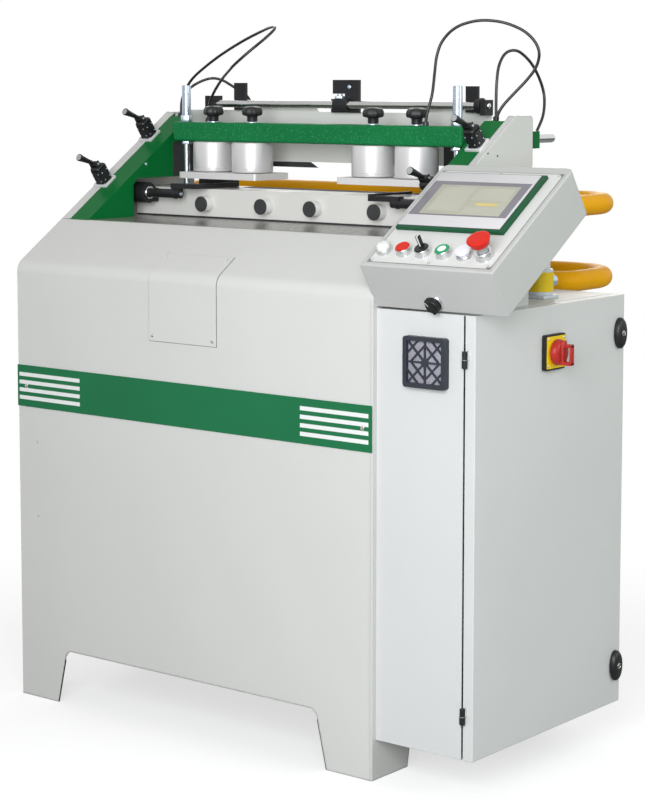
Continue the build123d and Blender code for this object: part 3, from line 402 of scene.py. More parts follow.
paint(chrome, "button_collars")
paint(black_steel, "stop_flags", "stop_bearings", "left_side_stop", "right_side_stop")
print("metal solids done")

# %% [markdown]
# ## Plastics, rubber and hose
# Moulded plastic has a fine spark-eroded grain and a soft sheen. Knobs and levers are nearly black but never
# quite, because a real black reflects a few percent everywhere.

# %% Plastics
black_plastic = finish("black_plastic", (0.011, 0.011, 0.012), 0.4, spread=0.12, patch=30.0, bump=0.2,
                       stretch=(1100, 1100, 1100), edge_r=0.5, edge_colour=(0.05, 0.05, 0.05), shine=0.3)
filter_plastic = finish("filter_plastic", (0.030, 0.034, 0.044), 0.42, spread=0.1, patch=20.0, bump=0.15,
                        stretch=(1100, 1100, 1100), edge_r=0.5, edge_colour=(0.10, 0.11, 0.13), shine=0.3)
grey_plastic = finish("grey_plastic", (0.33, 0.34, 0.34), 0.4, spread=0.05, bump=0.15, edge_r=0.5,
                      edge_colour=(0.5, 0.5, 0.5))
dark_plastic = finish("dark_plastic", (0.055, 0.055, 0.057), 0.5, spread=0.1, bump=0.2, edge_r=0.4, shine=0.3)
white_plastic = finish("white_plastic", (0.72, 0.72, 0.70), 0.3, spread=0.03, bump=0.08, edge_r=0.4)
red_plastic = finish("red_plastic", (0.62, 0.020, 0.010), 0.36, spread=0.05, bump=0.1, edge_r=0.5,
                     edge_colour=(0.8, 0.08, 0.05), edge_share=0.4, shine=0.15)
dull_red = finish("dull_red", (0.40, 0.022, 0.016), 0.36, spread=0.06, bump=0.12, edge_r=0.6,
                  edge_colour=(0.6, 0.12, 0.10), edge_share=0.5, shine=0.3)
green_plastic = finish("green_plastic", (0.012, 0.30, 0.12), 0.3, spread=0.05, bump=0.08, edge_r=0.4,
                       shine=0.3)
yellow_plastic = finish("yellow_plastic", (0.80, 0.56, 0.01), 0.36, spread=0.03, bump=0.08, edge_r=0.4,
                        shine=0.3)
rubber = finish("rubber", (0.035, 0.036, 0.037), 0.62, spread=0.15, patch=30.0, bump=0.3, edge_r=0.5,
                edge_colour=(0.08, 0.08, 0.08), shine=0.3)
hose_plastic = finish("hose_plastic", (0.014, 0.014, 0.015), 0.28, spread=0.1, bump=0.05, edge_r=0.3,
                      shine=0.4)
paint(black_plastic, "knob_1", "knob_2", "knob_3", "knob_4", "lever_1", "lever_2", "lever_3", "lever_4",
      "valve_bodies", "top_selector", "front_selector", "upper_lock", "lower_lock", "switch_base")
paint(filter_plastic, "fan_filter")
paint(grey_plastic, "touch_screen", "air_unit", "control_plate")
paint(white_plastic, "pilot_lamp", "white_button", "bumpers")
paint(red_plastic, "red_button", "emergency_stop")
paint(dull_red, "switch_handle")
paint(green_plastic, "green_button")
paint(hose_plastic, "hose_a", "hose_b", "hose_c", "hose_d")
print(len(bpy.data.materials), "finishes so far")

# %% [markdown]
# ## The air hoses
# Four thin polyurethane hoses feed the clamps. Such a hose is stiff: it springs in wide arcs and sags little.
# A NURBS curve drawn along the route's points gives that line, because it rounds every corner evenly. The
# points are given in millimetres.

# %% Hoses
HOSE_R = 3.0
HOSE_ROUTES = {
    "hose_a": ("bridge", 0.613, [
        (296, 129, 1196), (297, 129, 1212), (301, 131.5, 1231), (305.5, 138, 1257), (304, 145, 1284),
        (301.5, 152, 1306.5), (301, 157.5, 1333.5), (309, 163, 1363), (335, 172, 1390), (370.5, 187, 1402),
        (401.5, 203, 1402.5), (432, 220, 1395.5), (465.5, 236, 1377.5), (487, 246, 1345.5),
        (480, 247, 1312.5), (461, 240, 1286), (439.5, 227, 1260), (420, 212.5, 1234), (410.2, 208, 1212),
        (409.8, 208, 1186), (410, 208, 1160),
    ]),
    "hose_b": ("machine", 0.374, [
        (404, 216.5, 1206), (403.5, 216.5, 1243), (403.5, 218, 1282), (402.5, 226, 1316), (408, 241, 1341),
        (418, 264, 1346), (422, 290, 1334), (426.5, 314, 1314.5), (430.5, 334, 1285.5), (433, 345, 1258),
        (437, 340, 1236), (443, 327, 1217), (446, 314, 1202), (443, 304, 1185),
    ]),
    "hose_c": ("bridge", 0.955, [
        (-411, 188, 1160), (-411.2, 188, 1186), (-411, 188, 1213), (-409, 187, 1241), (-396, 187, 1266),
        (-375.5, 184, 1288), (-338.5, 178, 1309.5), (-275.5, 166, 1339.5), (-197, 152, 1369.5),
        (-135, 136, 1387), (-77.5, 102, 1395.5), (-40, 74, 1393.5), (-39, 38, 1371), (-57, 8, 1344.5),
        (-91, -4, 1315), (-134, 35, 1307), (-187, 80, 1296), (-237, 119, 1280.5), (-280, 145, 1255),
        (-297, 150, 1228), (-297, 150, 1196),
    ]),
    "hose_d": ("machine", 0.262, [
        (-417, 194, 1206), (-416, 194, 1230), (-412.5, 199, 1250.5), (-402.5, 208, 1269.5), (-382, 223, 1284),
        (-361, 237, 1291), (-340.5, 248, 1285.5), (-322, 256, 1273), (-303, 263, 1262), (-287, 268, 1251),
        (-277, 271, 1233), (-276, 271, 1205),
    ]),
}
for node_name, (body, length, route) in HOSE_ROUTES.items():
    curve = bpy.data.curves.new("air_" + node_name, "CURVE")
    curve.dimensions = "3D"
    curve.bevel_depth = HOSE_R * MM
    curve.bevel_resolution = 5
    curve.resolution_u = 10
    curve.use_fill_caps = True
    curve.materials.append(hose_plastic)
    line = curve.splines.new("NURBS")
    line.points.add(len(route) - 1)
    for point, spot in zip(line.points, route):
        point.co = (*(Vector(spot) * MM), 1)
    line.order_u = 3
    line.use_endpoint_u = True
    tube = bpy.data.objects.new("air_" + node_name, curve)
    scene.collection.objects.link(tube)
    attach(tube, body)
    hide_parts(node_name)
print(len(HOSE_ROUTES), "hoses laid")

# %% [markdown]
# ## Shape helpers
# New pieces are made of a few kinds of form: turned forms, blocks with rounded edges, and flat plates. Each
# helper adds one such form to a bmesh, in millimetres, in a local frame given by a matrix, so the same few
# lines serve a button on the sloping console and a screw on the front.

# %% Shape helpers
FRONT = ((1, 0, 0), (0, -1, 0))
REAR = ((-1, 0, 0), (0, 1, 0))
RIGHT = ((0, 1, 0), (1, 0, 0))
LEFT = ((0, -1, 0), (-1, 0, 0))
UP = ((1, 0, 0), (0, 0, 1))


def local(origin, axes=UP):
    """Local frame at a point in millimetres, from its X axis and its Z axis."""
    x_axis, z_axis = (Vector(axis).normalized() for axis in axes)
    matrix = Matrix((x_axis, z_axis.cross(x_axis), z_axis)).transposed().to_4x4()
    matrix.translation = Vector(origin) * MM
    return matrix


def moved(at, x, y, z):
    """The same frame, moved along its own axes."""
    return at @ Matrix.Translation(Vector((x, y, z)) * MM)


def turned(at, degrees, axis):
    """The same frame, turned about one of its own axes."""
    return at @ Matrix.Rotation(math.radians(degrees), 4, axis)


def edges_of(verts):
    """All edges that meet in some vertices."""
    return list({edge for vert in verts for edge in vert.link_edges})


def soften(bm, edges, r, segments=2):
    """Round edges by a radius in millimetres."""
    bmesh.ops.bevel(bm, geom=edges, offset=r * MM, offset_type="OFFSET", segments=segments, profile=0.5,
                    affect="EDGES", clamp_overlap=True, material=-1)


def mark(bm, before, index):
    """Give a material index to the faces that weren't there before."""
    for face in bm.faces:
        if face not in before:
            face.material_index = index


def lathe(bm, at, profile, steps=40, index=0):
    """Turn a profile of (radius, height) points around the local Z axis."""
    before = set(bm.faces)
    verts = [bm.verts.new(at @ (Vector((r, 0, h)) * MM)) for r, h in profile]
    edges = [bm.edges.new(pair) for pair in zip(verts, verts[1:])]
    bmesh.ops.spin(bm, geom=verts + edges, cent=at.translation, axis=at.col[2].xyz, dvec=(0, 0, 0),
                   angle=2 * math.pi, steps=steps, use_merge=True, use_duplicate=False)
    mark(bm, before, index)


def block(bm, at, low, high, round_by=0.0, segments=2, index=0, axis=None):
    """Block between two corners, with all its edges rounded, or only those along one local axis."""
    before = set(bm.faces)
    low, high = Vector(low), Vector(high)
    made = bmesh.ops.create_cube(bm, size=1.0)["verts"]
    size = Matrix.Diagonal((*((high - low) * MM), 1))
    bmesh.ops.transform(bm, matrix=at @ Matrix.Translation((low + high) / 2 * MM) @ size, verts=made)
    edges = edges_of(made)
    if axis is not None:
        line = at.col[axis].xyz
        edges = [e for e in edges if abs((e.verts[0].co - e.verts[1].co).normalized().dot(line)) > 0.99]
    if round_by:
        soften(bm, edges, round_by, segments)
    mark(bm, before, index)


def plate(bm, at, outline, depth, round_by=0.0, index=0):
    """Flat outline of (x, y) points drawn out along the local Z axis, with its far edges rounded."""
    before = set(bm.faces)
    base = bm.faces.new([bm.verts.new(at @ (Vector((x, y, 0)) * MM)) for x, y in outline])
    grown = bmesh.ops.extrude_face_region(bm, geom=[base])["geom"]
    top = [item for item in grown if isinstance(item, bmesh.types.BMVert)]
    bmesh.ops.translate(bm, vec=at.col[2].xyz * depth * MM, verts=top)
    if round_by:
        soften(bm, edges_of(top), round_by)
    mark(bm, before, index)


def piece(name, bm, body, slot, *materials, angle=30, stands_for=()):
    """Finish a mesh as a piece of the machine that rides on a body."""
    bmesh.ops.remove_doubles(bm, verts=bm.verts, dist=1e-6)
    bmesh.ops.dissolve_degenerate(bm, edges=bm.edges, dist=1e-7)
    bmesh.ops.recalc_face_normals(bm, faces=bm.faces)
    mesh = bpy.data.meshes.new(name)
    bm.to_mesh(mesh)
    bm.free()
    for material in materials:
        mesh.materials.append(material)
    mesh.shade_smooth()
    mesh.set_sharp_from_angle(angle=math.radians(angle))
    made = bpy.data.objects.new(name, mesh)
    scene.collection.objects.link(made)
    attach(made, body)
    if stands_for:
        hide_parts(*stands_for)
    print(name, len(mesh.polygons), "faces")
    return made


def turned_piece(name, body, slot, at, profiles, *materials, steps=48, **more):
    """Piece of turned forms on one axis, each in its own material."""
    form = bmesh.new()
    for index, profile in enumerate(profiles):
        lathe(form, at, profile, steps, index)
    return piece(name, form, body, slot, *materials, **more)


def corners(name):
    """Lowest and highest corner of a solid of the frame, in millimetres."""
    return tuple(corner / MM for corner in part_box(name))


MACHINE = local((0, 0, 0))


# %% [markdown]
# ## Stripes and screws on the front
# The strip across the front carries four white stripes at each end. They are printed film, so each is a plate
# only a fraction of a millimetre thick. The screws that hold strip, cover and console lid get a domed head
# with a socket, turned from one profile.

# %% Stripes
strip_low, strip_high = corners("front_strip")
STRIPE_H, STRIPE_PITCH, STRIPE_FIRST = 8.0, 16.05, 19.3
FILM_T = 0.15
STRIPE_X = ((-457.5, -282.0), (295.0, 455.5))
stripes = bmesh.new()
for x_from, x_to in STRIPE_X:
    for number in range(4):
        z = strip_high.z - STRIPE_FIRST - number * STRIPE_PITCH
        block(stripes, local((0, strip_low.y, z), FRONT), (x_from, -STRIPE_H / 2, 0),
              (x_to, STRIPE_H / 2, FILM_T))
piece("strip_stripes", stripes, "machine", "white_plastic", white_film)

# %% Screw heads
CONSOLE_AT = (465.0, -299.0, 959.0)
CONSOLE_TILT = math.radians(33.5)
CONSOLE_W, CONSOLE_L = 283.0, 298.0
SLOPE = math.radians(34.0)
BEND_Z, FRONT_Y = 908.0, -260.0
console = local(CONSOLE_AT, ((1, 0, 0), (0, -math.sin(CONSOLE_TILT), math.cos(CONSOLE_TILT))))
slope_axes = ((1, 0, 0), (0, -math.sin(SLOPE), math.cos(SLOPE)))
cover_low, cover_high = corners("access_cover")


def at_console(u, v, w):
    """Local frame on the console lid."""
    return moved(console, u, v, w)


def screw(bm, at, r, h, index=0):
    """Domed screw head with a round socket."""
    lathe(bm, at, [(0, h * 0.4), (r * 0.4, h * 0.4), (r * 0.46, h), (r * 0.7, h * 0.96), (r * 0.92, h * 0.7),
                   (r, h * 0.25), (r, 0)], 24, index)


STRIP_SCREW_X, STRIP_SCREW_Z = (-436, 442), 656.5
LID_INSET, COVER_INSET = (17, 15), 9
SHELL_SCREW_X, SHELL_SCREW_Z = -408, (541, 387)
heads = bmesh.new()
for x in STRIP_SCREW_X:
    screw(heads, local((x, strip_low.y, STRIP_SCREW_Z), FRONT), 4.8, 2.4)
for x in (cover_low.x + COVER_INSET, cover_high.x - COVER_INSET):
    screw(heads, local((x, cover_low.y, cover_low.z + 10), FRONT), 3.4, 1.6)
    screw(heads, local((x, cover_high.y - 8.0, cover_high.z - 5.4), slope_axes), 3.4, 1.6)
for u in (LID_INSET[0], CONSOLE_W / 2, CONSOLE_W - LID_INSET[0]):
    for v in (LID_INSET[1], CONSOLE_L - LID_INSET[1]):
        screw(heads, at_console(u, v, 0.5), 3.2, 1.4)
for z in SHELL_SCREW_Z:
    screw(heads, local((SHELL_SCREW_X, FRONT_Y, z), FRONT), 2.6, 1.2)
piece("screw_heads", heads, "machine", "zinc", steel, stands_for=("panel_screws",))

# %% [markdown]
# ## Knobs, rods and cylinders of the clamp bridge
# A lobe knob is a turned form whose rim is drawn in at even spaces, so it is spun first and then each
# vertex is moved by a cosine of its angle. The rods, nuts and cylinders are plain turned forms.

# %% Knobs
KNOB_LOBES, KNOB_INNER, KNOB_DRAWN = 6, 12.0, 0.15
KNOB_PROFILE = [
    (0, 0), (10.4, 0), (11, 1), (11, 9), (11.6, 11.2), (15, 12.4), (19.5, 13.2), (21.6, 16), (22, 20),
    (21.4, 25), (18.5, 29.5), (13, 31.8), (7, 32.6), (6.2, 32.2), (0, 32.2),
]


def lobed(bm, axis_at, lobes, inner, depth):
    """Draw the rim of a turned form in between its lobes."""
    for vert in bm.verts:
        away = Vector((vert.co.x - axis_at.x, vert.co.y - axis_at.y, 0))
        if away.length > inner * MM:
            turn = math.atan2(away.y, away.x)
            share = (away.length / MM - inner) / inner
            vert.co -= away * depth * share * (0.5 + 0.5 * math.cos(lobes * turn))


knob_h = max(h for r, h in KNOB_PROFILE)
for number in (1, 2, 3, 4):
    low, high = corners(f"knob_{number}")
    seat = local(((low.x + high.x) / 2, (low.y + high.y) / 2, high.z - knob_h))
    knob = bmesh.new()
    lathe(knob, seat, KNOB_PROFILE, 72)
    lobed(knob, seat.translation, KNOB_LOBES, KNOB_INNER, KNOB_DRAWN)
    piece(f"clamp_knob_{number}", knob, f"knob_{number}", "black_plastic", black_plastic,
          stands_for=(f"knob_{number}",))

# %% Rods and rear pins
ROD_X, ROD_Y = (-351.0, 365.0), 140.0
ROD_Z = (1030.0, 1149.0, 1274.5)
ROD_R, SHANK_R = 9.7, 6.9
PIN_X, PIN_Y, PIN_Z = 423.0, (310.0, 390.0), 1169.0
rods = bmesh.new()
upper_l = ROD_Z[2] - ROD_Z[1]
for x in ROD_X:
    lathe(rods, local((x, ROD_Y, ROD_Z[0])), [(0, 0), (SHANK_R, 0), (SHANK_R, ROD_Z[1] - ROD_Z[0] + 1)], 32)
    lathe(rods, local((x, ROD_Y, ROD_Z[1])), [
        (SHANK_R, 0), (ROD_R - 0.8, 0), (ROD_R, 0.8), (ROD_R, upper_l - 1.2), (ROD_R - 1.2, upper_l),
        (0, upper_l),
    ], 40)
pin_l = PIN_Y[1] - PIN_Y[0]
for x in (-PIN_X, PIN_X):
    lathe(rods, local((x, PIN_Y[0], PIN_Z), REAR), [
        (0, 0), (12.5, 0), (12.5, 3.4), (12.1, 4), (9.5, 4), (9.5, pin_l - 3), (9.1, pin_l - 1.2),
        (8, pin_l), (0, pin_l),
    ], 40, index=1)
piece("bridge_rods", rods, "machine", "zinc", rod_steel, chrome, stands_for=("steel_rods",))

# %% Nuts and washers
BEAM_Z = (1155.0, 1196.0)
NUT_AF, NUT_H, NUT_ROUND = 22.5, (7.5, 14.0), 0.9
CYL_X = (-269.5, -160.5, 160.5, 269.5)
CYL_Y = 136.0
WASHER = [(6.5, 0), (15, 0), (15, 1.6), (14.6, 2), (6.5, 2), (6.5, 0)]


def hex_nut(bm, at, across, height, index=0):
    """Hexagon nut with rounded corners."""
    before = set(bm.faces)
    r = across / math.sqrt(3) * MM
    made = bmesh.ops.create_cone(bm, cap_ends=True, segments=6, radius1=r, radius2=r,
                                 depth=height * MM)["verts"]
    bmesh.ops.transform(bm, matrix=at @ Matrix.Translation((0, 0, height / 2 * MM)), verts=made)
    soften(bm, edges_of(made), NUT_ROUND)
    mark(bm, before, index)


nuts = bmesh.new()
for x in ROD_X:
    hex_nut(nuts, local((x, ROD_Y, BEAM_Z[0] - NUT_H[0])), NUT_AF, NUT_H[0])
    hex_nut(nuts, local((x, ROD_Y, BEAM_Z[1])), NUT_AF, NUT_H[1])
for x in CYL_X:
    lathe(nuts, local((x, CYL_Y, BEAM_Z[1])), WASHER, 36)
piece("bridge_nuts", nuts, "bridge", "zinc", zinc, stands_for=("beam_nuts",))

# %% Clamp cylinders
CAN_R, CAN_Z = 44.0, (1091.5, 1155.0)
can_h = CAN_Z[1] - CAN_Z[0]
CAN_PROFILE = [
    (13, 0), (CAN_R - 3, 0), (CAN_R - 0.8, 0.8), (CAN_R, 3), (CAN_R, 6.6), (CAN_R - 0.5, 7),
    (CAN_R - 0.5, 7.6), (CAN_R, 8), (CAN_R, can_h - 4), (CAN_R - 1, can_h - 1), (CAN_R - 4, can_h),
    (0, can_h),
]
cans = bmesh.new()
for x in CYL_X:
    lathe(cans, local((x, CYL_Y, CAN_Z[0])), CAN_PROFILE, 72)
piece("clamp_cans", cans, "bridge", "aluminium", can_metal, stands_for=("clamp_cylinders",))

# %% [markdown]
# ## Bumpers on the table front
# Each bumper is a pale turned stub with a dark rubber disc in its face. Two profiles share one axis: the ring
# stops where the disc starts, so the two colours meet in a real step and not in a painted line.

# %% Bumpers
BUMPER_X = (-228.5, -65.0, 65.0, 228.5)
BUMPER_Z, BUMPER_R, BUMPER_L = 1026.0, 16.5, 25.5
table_low = corners("table_beam")[0]
stubs = bmesh.new()
STUB_PROFILE = [
    (BUMPER_R, 0), (BUMPER_R, BUMPER_L - 5), (BUMPER_R - 0.5, BUMPER_L - 4.4), (0, BUMPER_L - 4.4),
]
DISC_PROFILE = [
    (BUMPER_R - 0.6, BUMPER_L - 5), (BUMPER_R - 0.4, BUMPER_L - 3.8), (BUMPER_R - 0.4, BUMPER_L - 1.2),
    (BUMPER_R - 1.4, BUMPER_L - 0.2), (0, BUMPER_L),
]
for x in BUMPER_X:
    seat = local((x, table_low.y, BUMPER_Z), FRONT)
    lathe(stubs, seat, STUB_PROFILE, 48)
    lathe(stubs, seat, DISC_PROFILE, 48, index=1)
piece("table_bumpers", stubs, "machine", "rubber", white_plastic, rubber, stands_for=("bumpers",))

# %% [markdown]
# ## Hand valves
# Four little air valves sit on the sloping edges. Each has a pale foot plate, a black body with cut corners,
# a fork with a pin, and a lever that swells towards its end and shows a grey end face.

# %% Hand valves
VALVE_AT = ((-438.0, 117.0), (-438.0, -23.0), (433.0, 111.0), (433.0, -30.0))
LEVER_BACK, LEVER_UP, LEVER_TILT = -4.0, 52.0, 38.0
LEVER_PROFILE = [
    (0, 2), (3.6, 2), (3.8, 10), (4.8, 14), (5.4, 24), (7.0, 40), (7.8, 46), (7.8, 48), (7.3, 49),
    (6.6, 49.3),
]
LEVER_FACE = [(6.6, 49.3), (6.2, 48.8), (0, 48.6)]
valves = bmesh.new()
for number, (x, y) in enumerate(VALVE_AT, 1):
    seat = local((x, y, BEND_Z + (y - FRONT_Y) * math.tan(SLOPE)), slope_axes)
    block(valves, seat, (-18, -19, 0), (18, 19, 6), 0.8, index=1)
    for u, v in ((-14, -15), (14, -15), (-14, 15), (14, 15)):
        screw(valves, moved(seat, u, v, 6), 2.6, 2.0, index=2)
    block(valves, seat, (-14.5, -15.5, 6), (14.5, 15.5, 38), 5.5, 1, axis=2)
    block(valves, seat, (-13.5, -14.5, 37), (13.5, 14.5, 45), 4.5, 1)
    for v, w in ((-8, 14), (8, 14), (-8, 31), (8, 31)):
        screw(valves, turned(moved(seat, 14.5, v, w), 90, "Y"), 1.3, 0.6, index=2)
        screw(valves, turned(moved(seat, v, -15.5, w), 90, "X"), 1.3, 0.6, index=2)
    for ear in (-1, 1):
        near, far = sorted((ear * 7.5, ear * 11))
        block(valves, seat, (near, LEVER_BACK - 6, 40), (far, LEVER_BACK + 6, LEVER_UP + 6), 1.5, 2)
    pin = turned(moved(seat, -12, LEVER_BACK, LEVER_UP), 90, "Y")
    lathe(valves, pin, [(0, 0), (2.5, 0), (2.5, 24), (0, 24)], 16, index=2)
    grip = bmesh.new()
    pivot = moved(seat, 0, LEVER_BACK, LEVER_UP)
    hub = turned(moved(pivot, -7, 0, 0), 90, "Y")
    lathe(grip, hub, [(2.8, 0), (5.6, 0), (6, 0.5), (6, 13.5), (5.6, 14), (2.8, 14), (2.8, 0)], 32)
    stick = turned(pivot, LEVER_TILT, "X")
    lathe(grip, stick, LEVER_PROFILE, 32)
    lathe(grip, stick, LEVER_FACE, 32, index=1)
    piece(f"valve_lever_{number}", grip, f"lever_{number}", "black_plastic", black_plastic, grey_plastic,
          stands_for=(f"lever_{number}",))
piece("hand_valves", valves, "machine", "black_plastic", black_plastic, pale_plate, zinc,
      stands_for=("valve_bodies",))

# %% [markdown]
# ## The operator screen
# The screen sits on the lid as a shallow tray: a green skirt, a pale frame, a grey border, and the display
# itself. Each layer is a thin block that stands a fraction of a millimetre over the one below, so every line
# between two colours is a real edge that catches light. The display shows only plain panes, because its
# picture is light and not form.

# %% Operator screen
skirt_green = finish("skirt_green", (0.006, 0.075, 0.028), 0.4, spread=0.05, bump=0.1, edge_r=0.6, shine=0.2)
screen_frame = finish("screen_frame", (0.60, 0.59, 0.605), 0.36, spread=0.02, bump=0.08, edge_r=0.6,
                      edge_colour=(0.75, 0.75, 0.76), edge_share=0.6)
screen_border = finish("screen_border", (0.20, 0.19, 0.215), 0.4, spread=0.03, bump=0.04, edge_r=0.2,
                       shine=0.3)
display = finish("display", (0.38, 0.375, 0.305), 0.35, spread=0.06, patch=12.0, bump=0.02, edge_r=0.1,
                 shine=0.3, glow=0.08)
pane = finish("pane", (0.42, 0.415, 0.345), 0.35, spread=0.04, patch=16.0, bump=0.02, edge_r=0.1, shine=0.3,
              glow=0.08)
amber_bar = finish("amber_bar", (0.56, 0.44, 0.13), 0.25, spread=0.06, patch=30.0, bump=0.02, edge_r=0.1,
                   glow=0.16)
lid_low, lid_high = corners("console_panel")
LID_V, GASKET = (10.5, 287.5), 1.6
SCREEN_LAYERS = {
    "skirt": ((16, 103.5, 0.5), (248.5, 274, 8), 1.0, 0),
    "shadow line": ((16.6, 109.3, 7.8), (239.7, 272.2, 8.3), 0.0, 6),
    "frame": ((18, 110.5, 7.8), (238.5, 271, 9.4), 0.8, 1),
    "lid gasket": ((lid_low.x - CONSOLE_AT[0] - GASKET, LID_V[0] - GASKET, -0.1),
                   (lid_high.x - CONSOLE_AT[0] + GASKET, LID_V[1] + GASKET, 0.25), 0.0, 2),
    "border": ((22, 141, 9.3), (234, 244, 9.7), 0.15, 2),
    "display": ((44, 145, 9.6), (217, 233, 9.9), 0.1, 3),
    "left pane": ((55, 155, 9.8), (124, 226, 10.0), 0.0, 4),
    "top pane": ((132, 190, 9.8), (210, 226, 10.0), 0.0, 4),
    "low pane": ((132, 151, 9.8), (210, 168, 10.0), 0.0, 4),
    "bar": ((151, 174, 9.8), (197, 181, 10.0), 0.0, 5),
}
screen = bmesh.new()
for low, high, round_by, index in SCREEN_LAYERS.values():
    block(screen, at_console(0, 0, 0), low, high, round_by, index=index)
piece("operator_screen", screen, "machine", "screen", skirt_green, screen_frame, screen_border, display, pane,
      amber_bar, rubber, stands_for=("touch_screen",))

# %% [markdown]
# ## Lamp, buttons and selectors
# Push buttons are turned parts, so each is one profile and one spin. Their chrome rings have small flats all
# round: with few steps in the spin and no smoothing between the faces, every flat mirrors another part of the
# room.

# %% Chrome rings
BUTTON_V = 41.0
BUTTON_U = (29.5, 73.0, 114.5, 159.0, 203.0, 246.0)
RING_TOPS = (9.0, 13.0, 13.0, 13.0, 5.5)
FRONT_KNOB = turned(at_console(135, 0, -76), 90, "X")
rings = bmesh.new()
for u, top in zip(BUTTON_U, RING_TOPS):
    lathe(rings, at_console(u, BUTTON_V, 0.5), [
        (13.6, 0), (15.4, 0), (15.4, 0.8), (14.6, 1.4), (14.6, top - 1.2), (14.2, top - 0.6),
        (13.6, top - 0.6), (13.6, 0),
    ], 28)
lathe(rings, at_console(BUTTON_U[5], BUTTON_V, 0.5), [
    (11.3, 0), (16.4, 0), (16.4, 1), (15.7, 1.6), (15.7, 13.4), (14.9, 14.5), (11.3, 14.5), (11.3, 0),
], 24)
lathe(rings, FRONT_KNOB, [(11.3, 0), (16.4, 0), (16.4, 2), (15.8, 3), (15.4, 5), (11.3, 5), (11.3, 0)], 40)
piece("button_rings", rings, "machine", "chrome", chrome, angle=8, stands_for=("button_collars",))

# %% Lamp and push buttons
lamp_lens = finish("lamp_lens", (0.74, 0.75, 0.71), 0.16, spread=0.12, patch=90.0, bump=0.05, edge_r=0.3)
# Painted highlight: a pale disc that glows a little, on top of the green cap.
painted_highlight_white = finish("painted_highlight_white", (0.80, 0.84, 0.80), 0.3, spread=0.02, bump=0.04, edge_r=0.2, glow=0.3)
lilac_white = finish("lilac_white", (0.80, 0.79, 0.86), 0.3, spread=0.03, bump=0.06, edge_r=0.3)
CAP_PROFILE = [(0, -3), (10.8, -3), (10.8, 8), (12.6, 8), (13.1, 8.6), (13.1, 13.8), (12.7, 14.7), (11.9, 15)]
button_at = [at_console(u, BUTTON_V, 0) for u in BUTTON_U]
turned_piece("lamp_dome", "machine", "white_plastic", button_at[0], [[
    (0, 0.5), (13.1, 0.5), (13.1, 9), (12.8, 12.5), (11.2, 16), (8, 18.2), (4, 19), (0, 19.1),
]], lamp_lens, steps=14, angle=12, stands_for=("pilot_lamp",))
turned_piece("red_cap", "red_button", "red_plastic", button_at[1], [CAP_PROFILE + [(11.3, 14.6), (0, 14.5)]],
             red_plastic, stands_for=("red_button",))
# The green cap's top disc is a painted highlight.
turned_piece("green_cap", "green_button", "green_plastic", button_at[3], [
    CAP_PROFILE + [(10.9, 14.6), (7.8, 14.6)], [(7.8, 14.6), (4, 14.9), (0, 15)],
], green_plastic, painted_highlight_white, stands_for=("green_button",))
turned_piece("white_cap", "white_button", "white_plastic", button_at[4], [[
    (0, -3), (10.8, -3), (10.8, 10.3), (14, 10.3), (14.6, 10.9), (14.6, 14.6), (14.1, 15.3), (13.4, 15.5),
    (0, 15.4),
]], lilac_white, stands_for=("white_button",))

# %% Selectors
blade_knob = bmesh.new()
selector_at = button_at[2]
lathe(blade_knob, selector_at, [
    (0, -3), (10.8, -3), (10.8, 8), (12.6, 8), (13.1, 8.6), (13.1, 13.6), (12.3, 14.8), (0, 15),
], 48)
block(blade_knob, selector_at, (-4.2, -1, 14), (4.2, 6, 38), 1.4, 3)
block(blade_knob, selector_at, (-1.4, -1.25, 17), (1.4, 0, 37.4), index=1)
block(blade_knob, selector_at, (-1.4, -1.0, 37.5), (1.4, 6.0, 38.2), index=1)
piece("blade_knob", blade_knob, "top_selector", "black_plastic", black_plastic, white_plastic,
      stands_for=("top_selector",))
front_knob = bmesh.new()
lathe(front_knob, FRONT_KNOB, [
    (0, -3), (10.8, -3), (10.8, 5.2), (13, 5.4), (13.5, 6), (13.5, 13.8), (12.6, 15), (0, 15.2),
], 48)
grip_at = turned(FRONT_KNOB, 30, "Z")
plate(front_knob, moved(grip_at, 0, 0, 6), [(-4.6, -14), (4.6, -14), (5, 11), (0, 18), (-5, 11)], 12, 1.2)
block(front_knob, grip_at, (-0.7, 6, 17.6), (0.7, 15, 18.2), index=1)
piece("front_knob", front_knob, "front_selector", "black_plastic", black_plastic, white_plastic,
      stands_for=("front_selector",))

# %% Emergency stop
mushroom = bmesh.new()
lathe(mushroom, button_at[5], [(0, -3), (10.8, -3), (10.8, 20), (11.6, 22), (11.6, 28), (0, 28)], 48, index=1)
lathe(mushroom, button_at[5], [
    (0, 27.6), (15.8, 27.6), (16.8, 28.2), (17.2, 29.4), (18.4, 33.5), (21.1, 38.4), (21.5, 39.6),
    (21.5, 40.9), (20.8, 42.2), (19.2, 43), (14.5, 43.2), (13.6, 42.6), (9.5, 42.6), (8.6, 43.2), (0, 43.4),
], 64)
piece("stop_mushroom", mushroom, "emergency_stop", "red_plastic", red_plastic, grey_plastic,
      stands_for=("emergency_stop",))

# %% [markdown]
# ## The fan filter
# Behind the black grille lies a mat of grey filter foam. It is one thin plate whose finish does the work: a
# very coarse grain with strong bump, and a colour that changes from pore to pore.

# %% Filter foam
filter_foam = finish("filter_foam", (0.30, 0.29, 0.335), 0.85, spread=0.3, patch=420.0, bump=0.9,
                     stretch=(600, 600, 600), edge_r=0.1, shine=0.2)
filter_low, filter_high = corners("fan_filter")
FOAM_INSET, FOAM_BEHIND = 8.2, (7.4, 6.2)
foam = bmesh.new()
block(foam, MACHINE, (filter_low.x + FOAM_INSET, filter_high.y - FOAM_BEHIND[0], filter_low.z + FOAM_INSET),
      (filter_high.x - FOAM_INSET, filter_high.y - FOAM_BEHIND[1], filter_high.z - FOAM_INSET), 0.3)
piece("filter_mat", foam, "machine", "black_plastic", filter_foam)

